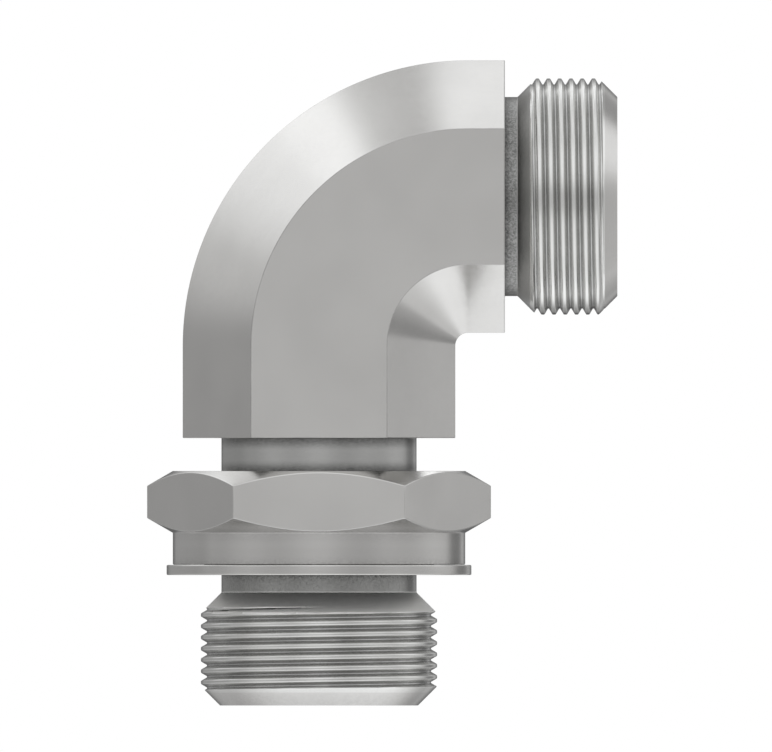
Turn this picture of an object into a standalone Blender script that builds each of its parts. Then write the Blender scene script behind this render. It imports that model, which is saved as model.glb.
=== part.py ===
"""Adjustable 90 degree elbow fitting for a 30 mm hydraulic tube.

A bar of hexagonal section is bent through a right angle and bored right round the bend. Its lower end is
turned down to a stud with a port thread at its foot and an adjusting thread higher up. Its other end is
turned to a threaded tube connection with a 24 degree cone. The lock nut runs on the adjusting thread and
presses a retaining ring, with an O-ring inside it, onto the face of the port.

Units are metres and +Z is up. The origin is the centre of the base of the whole fitting's box, and the
stud stands a little to the left of it. Heights are measured from the stud's end face, and reaches from
the stud's axis. The adjusting thread, which the lock nut hides, is a plain cylinder at its crest diameter.
"""

import math

import bmesh
import bpy
from mathutils import Matrix, Vector

# Body: a hexagonal bar bent through a right angle, and the radius left at its inside ridge
BODY_ACROSS_FLATS = 0.0420
BODY_INNER_BEND_RADIUS = 0.0023
BODY_LOWER_LEG = 0.0164
BODY_UPPER_LEG = 0.0065
BODY_END_CHAMFER = 0.0004

# Threads: M42 x 2 at the port, at the lock nut and at the tube end, with 45 degree chamfers. They are
# right-handed, and a crest's middle passes the +X side of the stud, or the underside of the tube end, here.
THREAD_CREST_DIAMETER = 0.0420
THREAD_PITCH = 0.0020
THREAD_CREST_LAND = 0.0004
THREAD_STOCK = 0.0001
PORT_CREST_HEIGHT = 0.0171
TUBE_CREST_REACH = 0.0398

# Stud: the turned lower end, from its end face up
PORT_THREAD_HEIGHT = 0.0201
PORT_THREAD_CHAMFER = 0.0034
STUD_UNDERCUT = 0.00365
ADJUSTING_THREAD_LENGTH = 0.0108
ADJUSTING_THREAD_COVER = 0.0002

# Tube end: the turned upper end
TUBE_UNDERCUT = 0.0033
TUBE_NECK_LENGTH = 0.00225
TUBE_THREAD_LENGTH = 0.01775

# Bores: the flow passage, and the socket that takes a 30 mm tube and its cutting ring
FLOW_BORE_DIAMETER = 0.0250
TUBE_DIAMETER = 0.0300
TUBE_CLEARANCE = 0.0001
SOCKET_DEPTH = 0.0135
SOCKET_CONE_FLARE = 0.0014
SOCKET_CONE_HALF_ANGLE = math.radians(12.0)
SOCKET_RIM = 0.0012

# Retaining ring: a flat ring that passes over the port thread
RING_STANDOFF = 0.0031
RING_WIDTH = 0.0058
RING_THICKNESS = 0.0018
RING_CHAMFER = 0.00015

# O-ring: its room inside the retaining ring before it is squeezed, and how far it is tucked up
O_RING_ROOM = 0.0008
O_RING_RECESS = 0.00015

# Lock nut: hexagon above, turned collar below
NUT_WALL = 0.0052
NUT_HEXAGON_HEIGHT = 0.0110
NUT_COLLAR_STEP = 0.0005
NUT_COLLAR_HEIGHT = 0.0054
NUT_COLLAR_CHAMFER = 0.0002
NUT_FACE_ANGLE = math.radians(30.0)
NUT_COUNTERSINK = 0.0008
NUT_ROOM_BELOW_BODY = 0.00585

# Gap between pieces that touch, and over-travel of everything that cuts or joins
SEAT_GAP = 0.0003
OVERLAP = 0.0040

# Fineness of round shapes
ROUND_STEPS = 72
BORE_STEPS = 40
BEND_STEPS = 18
THREAD_STEPS = 48
O_RING_STEPS = 48
O_RING_SECTION_STEPS = 10
MERGE_DISTANCE = 0.000001
SMOOTH_ANGLE = math.radians(30.0)

# Radii worked out from the sizes above
CREST_RADIUS = THREAD_CREST_DIAMETER / 2
THREAD_ROOT_RADIUS = CREST_RADIUS - 5 / 16 * math.sqrt(3) * THREAD_PITCH
BLANK_RADIUS = CREST_RADIUS + THREAD_STOCK
STUD_NECK_RADIUS = CREST_RADIUS - STUD_UNDERCUT
STUD_FACE_RADIUS = CREST_RADIUS - PORT_THREAD_CHAMFER
TUBE_NECK_RADIUS = CREST_RADIUS - TUBE_UNDERCUT
SOCKET_RADIUS = TUBE_DIAMETER / 2 + TUBE_CLEARANCE
SOCKET_MOUTH_RADIUS = SOCKET_RADIUS + SOCKET_CONE_FLARE
TUBE_FACE_RADIUS = SOCKET_MOUTH_RADIUS + SOCKET_RIM
THREAD_PASSING_RADIUS = CREST_RADIUS + SEAT_GAP
RING_RADIUS = THREAD_PASSING_RADIUS + RING_WIDTH
NUT_FLAT_RADIUS = THREAD_PASSING_RADIUS + NUT_WALL
NUT_COLLAR_RADIUS = NUT_FLAT_RADIUS - NUT_COLLAR_STEP
NUT_CORNER_RADIUS = NUT_FLAT_RADIUS / math.cos(math.pi / 6)
BODY_CORNER_RADIUS = BODY_ACROSS_FLATS / math.sqrt(3)
BODY_BEND_RADIUS = BODY_CORNER_RADIUS + BODY_INNER_BEND_RADIUS

# Heights above the stud's end face
RING_BASE = PORT_THREAD_HEIGHT + RING_STANDOFF
NUT_BASE = RING_BASE + RING_THICKNESS + SEAT_GAP
NUT_SHOULDER = NUT_BASE + NUT_COLLAR_HEIGHT
NUT_TOP = NUT_SHOULDER + NUT_HEXAGON_HEIGHT
ADJUSTING_THREAD_TOP = NUT_TOP - ADJUSTING_THREAD_COVER
ADJUSTING_THREAD_BASE = ADJUSTING_THREAD_TOP - ADJUSTING_THREAD_LENGTH
STUD_LENGTH = NUT_TOP + NUT_ROOM_BELOW_BODY
BEND_CENTRE_HEIGHT = STUD_LENGTH + BODY_LOWER_LEG
TUBE_AXIS_HEIGHT = BEND_CENTRE_HEIGHT + BODY_BEND_RADIUS

# Reaches from the stud's axis
BODY_REACH = BODY_BEND_RADIUS + BODY_UPPER_LEG
TUBE_THREAD_START = BODY_REACH + TUBE_NECK_LENGTH
TUBE_REACH = TUBE_THREAD_START + TUBE_THREAD_LENGTH
LEFT_REACH = max(NUT_CORNER_RADIUS, RING_RADIUS, BODY_CORNER_RADIUS)
STUD_AXIS_X = (LEFT_REACH - TUBE_REACH) / 2

STEEL_COLOUR = (0.62, 0.62, 0.61, 1.0)
NUT_COLOUR = (0.60, 0.60, 0.59, 1.0)
RING_COLOUR = (0.58, 0.58, 0.57, 1.0)
RUBBER_COLOUR = (0.02, 0.02, 0.02, 1.0)


def clear_scene():
    """Remove whatever the file starts with."""
    for old in list(bpy.data.objects):
        bpy.data.objects.remove(old)


def new_collection(name):
    """Add a collection to the scene and return it."""
    collection = bpy.data.collections.new(name)
    bpy.context.scene.collection.children.link(collection)
    return collection


def new_material(name, colour, roughness, metallic):
    """Return a Principled material of one colour."""
    material = bpy.data.materials.new(name)
    material.use_nodes = True
    shader = material.node_tree.nodes["Principled BSDF"]
    shader.inputs["Base Color"].default_value = colour
    shader.inputs["Roughness"].default_value = roughness
    shader.inputs["Metallic"].default_value = metallic
    material.diffuse_color = colour
    return material


def new_empty(name, collection, parent, location, tilt=0.0):
    """Return an empty that marks an axis: its own Z runs along it."""
    empty = bpy.data.objects.new(name, None)
    collection.objects.link(empty)
    empty.parent = parent
    empty.location = location
    empty.rotation_euler = (0.0, tilt, 0.0)
    return empty


def new_piece(name, bm, collection, parent):
    """Turn a bmesh into an object on the given axis, shaded smooth between its sharp edges."""
    mesh = bpy.data.meshes.new(name)
    bm.to_mesh(mesh)
    bm.free()
    mesh.shade_smooth()
    mesh.set_sharp_from_angle(angle=SMOOTH_ANGLE)
    piece = bpy.data.objects.new(name, mesh)
    collection.objects.link(piece)
    piece.parent = parent
    return piece


def as_tool(piece):
    """Mark an object that only cuts or shapes another."""
    piece.hide_render = True
    piece.display_type = "WIRE"
    return piece


def shape_with(piece, operation, tool):
    """Join, cut or trim a piece with a tool."""
    modifier = piece.modifiers.new(f"{operation.lower()} {tool.name}", "BOOLEAN")
    modifier.operation = operation
    modifier.solver = "EXACT"
    modifier.object = tool


def turned(name, outline, collection, parent, closed=False):
    """Turn an outline of (radius, height) points about the parent's Z.

    The points run down the outer side. A solid's outline starts and ends on the axis, and a ring's is closed.
    """
    bm = bmesh.new()
    verts = [bm.verts.new((radius, 0.0, height)) for radius, height in outline]
    for upper, lower in zip(verts, verts[1:]):
        bm.edges.new((upper, lower))
    if closed:
        bm.edges.new((verts[-1], verts[0]))
    piece = new_piece(name, bm, collection, parent)
    screw = piece.modifiers.new("turn", "SCREW")
    screw.axis = "Z"
    screw.angle = 2 * math.pi
    screw.steps = ROUND_STEPS
    screw.render_steps = ROUND_STEPS
    screw.use_merge_vertices = True
    screw.merge_threshold = MERGE_DISTANCE
    screw.use_smooth_shade = True
    return piece


def extruded(bm, loop, offset):
    """Extrude a loop of edges by an offset and return the new loop."""
    made = bmesh.ops.extrude_edge_only(bm, edges=loop)["geom"]
    verts = [part for part in made if isinstance(part, bmesh.types.BMVert)]
    bmesh.ops.translate(bm, verts=verts, vec=offset)
    return [part for part in made if isinstance(part, bmesh.types.BMEdge)]


def swept_round_bend(name, sides, corner_radius, low_end, far_end, collection, parent, chamfer=0.0):
    """Sweep a regular polygon up the stud's axis, round the bend and out along the tube's axis.

    The polygon has a corner on the inside and one on the outside of the bend. The sweep starts at the
    height low_end and stops at the reach far_end, and its two end faces may have chamfered edges.
    """
    bm = bmesh.new()
    place = Matrix.Translation((0.0, 0.0, low_end)) @ Matrix.Rotation(math.pi / 2, 4, "Z")
    bmesh.ops.create_circle(bm, cap_ends=False, segments=sides, radius=corner_radius, matrix=place)
    loop = list(bm.edges)
    loop = extruded(bm, loop, Vector((0.0, 0.0, BEND_CENTRE_HEIGHT - low_end)))
    bent = bmesh.ops.spin(
        bm,
        geom=loop,
        cent=(BODY_BEND_RADIUS, 0.0, BEND_CENTRE_HEIGHT),
        axis=(0.0, 1.0, 0.0),
        angle=math.pi / 2,
        steps=BEND_STEPS,
    )
    loop = [part for part in bent["geom_last"] if isinstance(part, bmesh.types.BMEdge)]
    extruded(bm, loop, Vector((far_end - BODY_BEND_RADIUS, 0.0, 0.0)))
    ends = [edge for edge in bm.edges if edge.is_boundary]
    bmesh.ops.holes_fill(bm, edges=ends, sides=sides)
    if chamfer:
        bmesh.ops.bevel(bm, geom=ends, offset=chamfer, segments=1, affect="EDGES")
    bmesh.ops.recalc_face_normals(bm, faces=bm.faces)
    return new_piece(name, bm, collection, parent)


def threaded_rod(name, low, high, crest, collection, parent):
    """Wind the thread's section round the parent's Z, into a rod that reaches past the heights low and high.

    A crest's middle passes the parent's +X side at the height crest. Columns of points run up the rod, and
    each turn of a column is the two edges of a crest and a root. After one turn round the rod a column meets
    the first one a pitch higher up. A sixth of a step keeps the columns off the edges of turned blanks.
    """
    half_land = THREAD_CREST_LAND / 2
    section = [(CREST_RADIUS, -half_land), (CREST_RADIUS, half_land), (THREAD_ROOT_RADIUS, THREAD_PITCH / 2)]
    start = crest - (math.ceil((crest - low) / THREAD_PITCH) + 1) * THREAD_PITCH
    turns = math.ceil((high - start) / THREAD_PITCH) + 1
    bm = bmesh.new()
    columns = []
    for step in range(THREAD_STEPS):
        share = (step + 1 / 6) / THREAD_STEPS
        across = math.cos(2 * math.pi * share)
        along = math.sin(2 * math.pi * share)
        column = []
        for turn in range(turns):
            for radius, height in section:
                rise = start + height + (turn + share) * THREAD_PITCH
                column.append(bm.verts.new((radius * across, radius * along, rise)))
        columns.append(column)
    columns.append(columns[0][len(section):])
    for column, following in zip(columns, columns[1:]):
        for lower, beside, above, upper in zip(column, following, following[1:], column[1:]):
            bm.faces.new((lower, beside, above, upper))
    foot = bm.verts.new((0.0, 0.0, start + THREAD_PITCH / 2))
    tip = bm.verts.new((0.0, 0.0, start + (turns + 1 / 2) * THREAD_PITCH))
    for edge in [edge for edge in bm.edges if edge.is_boundary]:
        centre = foot if edge.verts[0].co.z < (low + high) / 2 else tip
        bm.faces.new((edge.verts[0], edge.verts[1], centre))
    bmesh.ops.recalc_face_normals(bm, faces=bm.faces)
    return new_piece(name, bm, collection, parent)


def cut_thread(name, outline, crest, collection, parent):
    """Cut a thread on a blank of the given outline, and return it as a tool that joins the body."""
    blank = as_tool(turned(f"{name}_blank", outline, collection, parent))
    heights = [height for _, height in outline]
    thread = as_tool(threaded_rod(name, min(heights), max(heights), crest, collection, parent))
    shape_with(thread, "INTERSECT", blank)
    return thread


def build_elbow_body(parts, tools, stud_axis, tube_axis):
    """Model the bent hexagonal bar with its stud, its tube end and its bores."""
    body = swept_round_bend(
        "elbow_body",
        6,
        BODY_CORNER_RADIUS,
        STUD_LENGTH,
        BODY_REACH,
        parts,
        stud_axis,
        chamfer=BODY_END_CHAMFER,
    )
    stud_outline = [
        (0.0, STUD_LENGTH + OVERLAP),
        (STUD_NECK_RADIUS, STUD_LENGTH + OVERLAP),
        (STUD_NECK_RADIUS, ADJUSTING_THREAD_TOP),
        (CREST_RADIUS, ADJUSTING_THREAD_TOP - STUD_UNDERCUT),
        (CREST_RADIUS, ADJUSTING_THREAD_BASE + STUD_UNDERCUT),
        (STUD_NECK_RADIUS, ADJUSTING_THREAD_BASE),
        (STUD_NECK_RADIUS, PORT_THREAD_HEIGHT - OVERLAP),
        (0.0, PORT_THREAD_HEIGHT - OVERLAP),
    ]
    port_outline = [
        (0.0, PORT_THREAD_HEIGHT),
        (STUD_NECK_RADIUS, PORT_THREAD_HEIGHT),
        (BLANK_RADIUS, PORT_THREAD_HEIGHT - (BLANK_RADIUS - STUD_NECK_RADIUS)),
        (BLANK_RADIUS, BLANK_RADIUS - STUD_FACE_RADIUS),
        (STUD_FACE_RADIUS, 0.0),
        (0.0, 0.0),
    ]
    tube_neck_outline = [
        (0.0, TUBE_THREAD_START + OVERLAP),
        (TUBE_NECK_RADIUS, TUBE_THREAD_START + OVERLAP),
        (TUBE_NECK_RADIUS, BODY_REACH - OVERLAP),
        (0.0, BODY_REACH - OVERLAP),
    ]
    tube_outline = [
        (0.0, TUBE_REACH),
        (TUBE_FACE_RADIUS, TUBE_REACH),
        (BLANK_RADIUS, TUBE_REACH - (BLANK_RADIUS - TUBE_FACE_RADIUS)),
        (BLANK_RADIUS, TUBE_THREAD_START + BLANK_RADIUS - TUBE_NECK_RADIUS),
        (TUBE_NECK_RADIUS, TUBE_THREAD_START),
        (0.0, TUBE_THREAD_START),
    ]
    shape_with(body, "UNION", as_tool(turned("stud_neck", stud_outline, tools, stud_axis)))
    shape_with(body, "UNION", as_tool(turned("tube_neck", tube_neck_outline, tools, tube_axis)))
    shape_with(body, "UNION", cut_thread("port_thread", port_outline, PORT_CREST_HEIGHT, tools, stud_axis))
    shape_with(body, "UNION", cut_thread("tube_thread", tube_outline, TUBE_CREST_REACH, tools, tube_axis))

    flow_bore = swept_round_bend(
        "flow_bore",
        BORE_STEPS,
        FLOW_BORE_DIAMETER / 2,
        -OVERLAP,
        TUBE_REACH + OVERLAP,
        tools,
        stud_axis,
    )
    shape_with(body, "DIFFERENCE", as_tool(flow_bore))

    cone_slope = math.tan(SOCKET_CONE_HALF_ANGLE)
    socket_outline = [
        (0.0, TUBE_REACH + OVERLAP),
        (SOCKET_MOUTH_RADIUS + OVERLAP * cone_slope, TUBE_REACH + OVERLAP),
        (SOCKET_RADIUS, TUBE_REACH - SOCKET_CONE_FLARE / cone_slope),
        (SOCKET_RADIUS, TUBE_REACH - SOCKET_DEPTH),
        (0.0, TUBE_REACH - SOCKET_DEPTH),
    ]
    tube_socket = as_tool(turned("tube_socket", socket_outline, tools, tube_axis))
    shape_with(body, "DIFFERENCE", tube_socket)
    return body


def build_lock_nut(parts, tools, stud_axis):
    """Model the lock nut as it is made: hexagonal bar, turned down to a collar and chamfered, then bored."""
    bm = bmesh.new()
    bmesh.ops.create_cone(
        bm,
        cap_ends=True,
        segments=6,
        radius1=NUT_CORNER_RADIUS,
        radius2=NUT_CORNER_RADIUS,
        depth=NUT_TOP - NUT_BASE + 2 * OVERLAP,
        matrix=Matrix.Translation((0.0, 0.0, (NUT_TOP + NUT_BASE) / 2)) @ Matrix.Rotation(math.pi / 2, 4, "Z"),
    )
    nut = new_piece("lock_nut", bm, parts, stud_axis)

    clear = NUT_CORNER_RADIUS + OVERLAP
    chamfer_drop = (clear - NUT_COLLAR_RADIUS) * math.tan(NUT_FACE_ANGLE)
    envelope_outline = [
        (0.0, NUT_TOP),
        (NUT_COLLAR_RADIUS, NUT_TOP),
        (clear, NUT_TOP - chamfer_drop),
        (clear, NUT_SHOULDER + chamfer_drop),
        (NUT_COLLAR_RADIUS, NUT_SHOULDER),
        (NUT_COLLAR_RADIUS, NUT_BASE + NUT_COLLAR_CHAMFER),
        (NUT_COLLAR_RADIUS - NUT_COLLAR_CHAMFER, NUT_BASE),
        (0.0, NUT_BASE),
    ]
    envelope = as_tool(turned("nut_envelope", envelope_outline, tools, stud_axis))
    shape_with(nut, "INTERSECT", envelope)

    bore_outline = [
        (0.0, NUT_TOP + OVERLAP),
        (THREAD_PASSING_RADIUS + NUT_COUNTERSINK + OVERLAP, NUT_TOP + OVERLAP),
        (THREAD_PASSING_RADIUS, NUT_TOP - NUT_COUNTERSINK),
        (THREAD_PASSING_RADIUS, NUT_BASE - OVERLAP),
        (0.0, NUT_BASE - OVERLAP),
    ]
    nut_bore = as_tool(turned("nut_bore", bore_outline, tools, stud_axis))
    shape_with(nut, "DIFFERENCE", nut_bore)
    return nut


def build_retaining_ring(parts, stud_axis):
    """Model the flat ring that keeps the O-ring in place under the nut."""
    top = RING_BASE + RING_THICKNESS
    outline = [
        (RING_RADIUS - RING_CHAMFER, top),
        (RING_RADIUS, top - RING_CHAMFER),
        (RING_RADIUS, RING_BASE + RING_CHAMFER),
        (RING_RADIUS - RING_CHAMFER, RING_BASE),
        (THREAD_PASSING_RADIUS, RING_BASE),
        (THREAD_PASSING_RADIUS, top),
    ]
    return turned("retaining_ring", outline, parts, stud_axis, closed=True)


def build_o_ring(parts, stud_axis):
    """Model the O-ring, which fills the space between the stud's neck and the retaining ring."""
    inner = STUD_NECK_RADIUS + SEAT_GAP
    outer = THREAD_PASSING_RADIUS - O_RING_ROOM
    section_radius = (outer - inner) / 2
    bpy.ops.mesh.primitive_torus_add(
        major_segments=O_RING_STEPS,
        minor_segments=O_RING_SECTION_STEPS,
        major_radius=(outer + inner) / 2,
        minor_radius=section_radius,
    )
    o_ring = bpy.context.active_object
    o_ring.name = "o_ring"
    o_ring.data.name = "o_ring"
    o_ring.data.shade_smooth()
    for holder in list(o_ring.users_collection):
        holder.objects.unlink(o_ring)
    parts.objects.link(o_ring)
    o_ring.parent = stud_axis
    o_ring.location = (0.0, 0.0, RING_BASE + O_RING_RECESS + section_radius)
    return o_ring


def main():
    """Build the fitting."""
    clear_scene()
    parts = new_collection("elbow_fitting")
    tools = new_collection("turning_and_boring_tools")
    stud_axis = new_empty("stud_axis", parts, None, (STUD_AXIS_X, 0.0, 0.0))
    tube_axis = new_empty("tube_axis", parts, stud_axis, (0.0, 0.0, TUBE_AXIS_HEIGHT), tilt=math.pi / 2)

    body = build_elbow_body(parts, tools, stud_axis, tube_axis)
    body.data.materials.append(new_material("plated_steel", STEEL_COLOUR, 0.32, 1.0))
    nut = build_lock_nut(parts, tools, stud_axis)
    nut.data.materials.append(new_material("plated_nut_steel", NUT_COLOUR, 0.34, 1.0))
    ring = build_retaining_ring(parts, stud_axis)
    ring.data.materials.append(new_material("plated_ring_steel", RING_COLOUR, 0.36, 1.0))
    o_ring = build_o_ring(parts, stud_axis)
    o_ring.data.materials.append(new_material("black_rubber", RUBBER_COLOUR, 0.55, 0.0))


main()
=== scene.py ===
"""Looks of an adjustable 90 degree elbow fitting for a 30 mm hydraulic tube.

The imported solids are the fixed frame. Four dressed pieces stand for its four nodes: the bent hexagonal body
with its threads and bores, the lock nut, the retaining ring and the O-ring. Lengths are in metres. Heights
are measured up the stud's axis from its end face, and reaches out along the tube's axis from the stud's.
"""

import logging
import math
from dataclasses import dataclass, field
from enum import Enum, IntEnum

import bmesh
import bpy
import numpy as np
from mathutils import Matrix, Vector

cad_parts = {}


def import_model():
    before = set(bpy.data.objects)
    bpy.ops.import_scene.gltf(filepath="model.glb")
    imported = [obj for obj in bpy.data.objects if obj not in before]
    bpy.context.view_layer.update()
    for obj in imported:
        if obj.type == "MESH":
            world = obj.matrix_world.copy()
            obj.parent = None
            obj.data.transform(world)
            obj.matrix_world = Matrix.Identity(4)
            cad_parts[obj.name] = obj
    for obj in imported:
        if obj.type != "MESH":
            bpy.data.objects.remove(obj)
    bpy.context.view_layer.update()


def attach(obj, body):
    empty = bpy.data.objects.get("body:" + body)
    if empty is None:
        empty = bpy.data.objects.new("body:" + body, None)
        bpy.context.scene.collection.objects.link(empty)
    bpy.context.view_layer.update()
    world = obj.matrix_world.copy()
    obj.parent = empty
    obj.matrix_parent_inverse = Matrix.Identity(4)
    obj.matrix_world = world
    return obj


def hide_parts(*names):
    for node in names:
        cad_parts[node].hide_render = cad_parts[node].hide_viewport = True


LOG = logging.getLogger("elbow_fitting")

COLUMNS = 160
BEND_STEPS = 60
CORNER_STEPS = 3
ROOM_SHARE = 0.49
BESIDE_RIDGE = (0.0, 0.00008, 0.00022, 0.00048, 0.00090)
WELD_DISTANCE = 0.000002
PLANE_TOLERANCE = 0.000005
SHARP_ANGLE = math.radians(32.0)
HALF_SIXTH = math.pi / 6
INNER_EDGE_SHARE = 0.7
PHOTO_WIDTH = 772
PIXELS_PER_METRE = 5624.0
WHITE = (1.0, 1.0, 1.0, 1.0)
UP = Vector((0.0, 0.0, 1.0))
DOWN = Vector((0.0, 0.0, -1.0))
OUT = Vector((1.0, 0.0, 0.0))


@dataclass(frozen=True)
class FittingSizes:
    """Sizes that the pieces share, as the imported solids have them.

    Attributes:
        stud_axis_x: Place of the stud's axis in the shared frame.
        bar_flat: Half the body's width across flats.
        crest_radius: Crest radius of the three outside threads.
        stud_neck: Radius of the stud between its threads.
        tube_neck: Radius of the tube end behind its thread.
        stud_length: Height of the body's lower end face.
        bend_start: Height at which the bar starts to bend.
        bend_radius: Radius of the bend on the bar's centre line.
        body_reach: Reach of the body's face at the tube end.
        tube_reach: Reach of the tube end's own face.
        flow_bore: Radius of the flow bore.
        passing_radius: Radius that passes over the port thread.
        adjusting_crest: Height of a crest of the adjusting thread, and of the nut's, on the front.
    """

    stud_axis_x: float = -0.0112246
    bar_flat: float = 0.0210
    crest_radius: float = 0.0210
    stud_neck: float = 0.01735
    tube_neck: float = 0.0177
    stud_length: float = 0.04755
    bend_start: float = 0.06395
    bend_radius: float = 0.0265487
    body_reach: float = 0.0330487
    tube_reach: float = 0.0530487
    flow_bore: float = 0.0125
    passing_radius: float = 0.0213
    adjusting_crest: float = 0.0360

    @property
    def tube_height(self) -> float:
        """Height of the tube's axis."""
        return self.bend_start + self.bend_radius

    @property
    def stud_place(self) -> Matrix:
        """Matrix that puts a shape turned about its own Z on the stud's axis."""
        return Matrix.Translation((self.stud_axis_x, 0.0, 0.0))

    @property
    def tube_place(self) -> Matrix:
        """Matrix that puts a shape turned about its own Z on the tube's axis."""
        lift = Matrix.Translation((self.stud_axis_x, 0.0, self.tube_height))
        return lift @ Matrix.Rotation(math.pi / 2, 4, "Y")


class TreeWriter:
    """Writes nodes into one node tree and links them."""

    def __init__(self, tree: bpy.types.NodeTree) -> None:
        """Start on an empty tree.

        Args:
            tree: The tree to write into; nodes that it starts with are removed.
        """
        self.tree = tree
        tree.nodes.clear()

    def add(self, kind: str, inputs: dict | None = None, **settings: object) -> bpy.types.Node:
        """Add a node.

        Args:
            kind: Blender's name for the node type.
            inputs: Value or source socket for each input, by the input's name or number.
            settings: Properties of the node itself.

        Returns:
            The new node.
        """
        node = self.tree.nodes.new(kind)
        for name, value in settings.items():
            setattr(node, name, value)
        for key, value in (inputs or {}).items():
            self.feed(node.inputs[key], value)
        return node

    def feed(self, socket: bpy.types.NodeSocket, value: object) -> None:
        """Link a source socket to an input, or set the input's own value."""
        if isinstance(value, bpy.types.NodeSocket):
            self.tree.links.new(value, socket)
        else:
            socket.default_value = value

    def math(self, operation: str, first: object, second: object = 0.0) -> bpy.types.NodeSocket:
        """Add a Math node and return its result."""
        node = self.add("ShaderNodeMath", {0: first, 1: second}, operation=operation)
        return node.outputs[0]

    def plus(self, first: object, second: object) -> bpy.types.NodeSocket:
        """Add two values."""
        return self.math("ADD", first, second)

    def minus(self, first: object, second: object) -> bpy.types.NodeSocket:
        """Take the second value from the first."""
        return self.math("SUBTRACT", first, second)

    def times(self, first: object, second: object) -> bpy.types.NodeSocket:
        """Multiply two values."""
        return self.math("MULTIPLY", first, second)

    def over(self, first: object, second: object) -> bpy.types.NodeSocket:
        """Divide the first value by the second."""
        return self.math("DIVIDE", first, second)

    def vector(self, operation: str, first: object, second: object = (0.0, 0.0, 0.0)) -> bpy.types.Node:
        """Add a Vector Math node and return the node."""
        return self.add("ShaderNodeVectorMath", {0: first, 1: second}, operation=operation)

    def blend(self, amount: object, low: object, high: object) -> bpy.types.NodeSocket:
        """Add a Mix node and return its result: its colours are inputs 6 and 7 and output 2."""
        node = self.add("ShaderNodeMix", {"Factor": amount, 6: low, 7: high}, data_type="RGBA")
        return node.outputs[2]

    def mix_shaders(self, amount: object, first: bpy.types.Node, second: bpy.types.Node) -> bpy.types.Node:
        """Add a Mix Shader node between two shaders and return the node."""
        return self.add("ShaderNodeMixShader", {0: amount, 1: first.outputs[0], 2: second.outputs[0]})

    def noise(
        self, point: object, scale: object, detail: float, roughness: float = 0.5
    ) -> bpy.types.NodeSocket:
        """Add a Noise Texture node and return its value."""
        inputs = {"Vector": point, "Scale": scale, "Detail": detail, "Roughness": roughness}
        return self.add("ShaderNodeTexNoise", inputs).outputs[0]

    def span(
        self, value: object, low: float, high: float, to_low: float = 0.0, to_high: float = 1.0
    ) -> bpy.types.NodeSocket:
        """Add a smooth Map Range node and return its result."""
        node = self.add(
            "ShaderNodeMapRange",
            {"Value": value, "From Min": low, "From Max": high, "To Min": to_low, "To Max": to_high},
            interpolation_type="SMOOTHSTEP",
        )
        return node.outputs[0]

    def group(self, tree: bpy.types.NodeTree, inputs: dict) -> bpy.types.Node:
        """Place a shader node group, set its inputs and return the node."""
        return self.add("ShaderNodeGroup", inputs, node_tree=tree)

    def surface(self, colour: object, rough: object, height: object, metallic: float) -> None:
        """End a material with a bumped Principled BSDF.

        Args:
            colour: Its colour.
            rough: Its roughness.
            height: Height of the surface's grain.
            metallic: 1 for metal and 0 for rubber.
        """
        bump = self.add("ShaderNodeBump", {"Strength": 1.0, "Distance": 1.0, "Height": height})
        shader = self.add(
            "ShaderNodeBsdfPrincipled",
            {"Base Color": colour, "Roughness": rough, "Normal": bump.outputs[0], "Metallic": metallic},
        )
        self.add("ShaderNodeOutputMaterial", {"Surface": shader.outputs[0]})


def new_material(name: str, colour: tuple[float, float, float]) -> tuple[bpy.types.Material, TreeWriter]:
    """Make a material without nodes.

    Args:
        name: Its name.
        colour: Its plain colour.

    Returns:
        The material and the writer of its nodes.
    """
    material = bpy.data.materials.new(name)
    material.use_nodes = True
    material.diffuse_color = colour + (1.0,)
    return material, TreeWriter(material.node_tree)


def toned(colour: tuple[float, float, float], factor: float) -> tuple[float, ...]:
    """Return a colour multiplied by a factor, with full alpha."""
    return tuple(min(1.0, channel * factor) for channel in colour) + (1.0,)


def new_group(name: str, kind: str, sockets_in: dict, sockets_out: dict) -> bpy.types.NodeTree:
    """Make a node group with named sockets.

    Args:
        name: Name of the group.
        kind: "GeometryNodeTree" or "ShaderNodeTree".
        sockets_in: For each input, its kind of socket, or that and its default value.
        sockets_out: For each output, its kind of socket.

    Returns:
        The group, without nodes.
    """
    tree = bpy.data.node_groups.new(name, kind)
    for label, form in sockets_in.items():
        socket_type, default = form if isinstance(form, tuple) else (form, None)
        kind_in = f"NodeSocket{socket_type}"
        socket = tree.interface.new_socket(name=label, in_out="INPUT", socket_type=kind_in)
        if default is not None:
            socket.default_value = default
    for label, socket_type in sockets_out.items():
        tree.interface.new_socket(name=label, in_out="OUTPUT", socket_type=f"NodeSocket{socket_type}")
    return tree


def made_by_nodes(source: bpy.types.Mesh, tree: bpy.types.NodeTree, values: dict) -> bpy.types.Mesh:
    """Run a Geometry Nodes tree on a mesh and return what it makes as a plain mesh.

    Args:
        source: The mesh that goes into the tree.
        tree: The tree.
        values: Value for each named input.

    Returns:
        A new mesh.
    """
    carrier = bpy.data.objects.new(f"{tree.name}_carrier", source)
    bpy.context.scene.collection.objects.link(carrier)
    modifier = carrier.modifiers.new(tree.name, "NODES")
    modifier.node_group = tree
    for item in tree.interface.items_tree:
        if item.item_type == "SOCKET" and item.in_out == "INPUT" and item.name in values:
            modifier[item.identifier] = values[item.name]
    made = bpy.data.meshes.new_from_object(carrier.evaluated_get(bpy.context.evaluated_depsgraph_get()))
    carrier.modifiers.remove(modifier)
    bpy.data.objects.remove(carrier)
    return made


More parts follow.
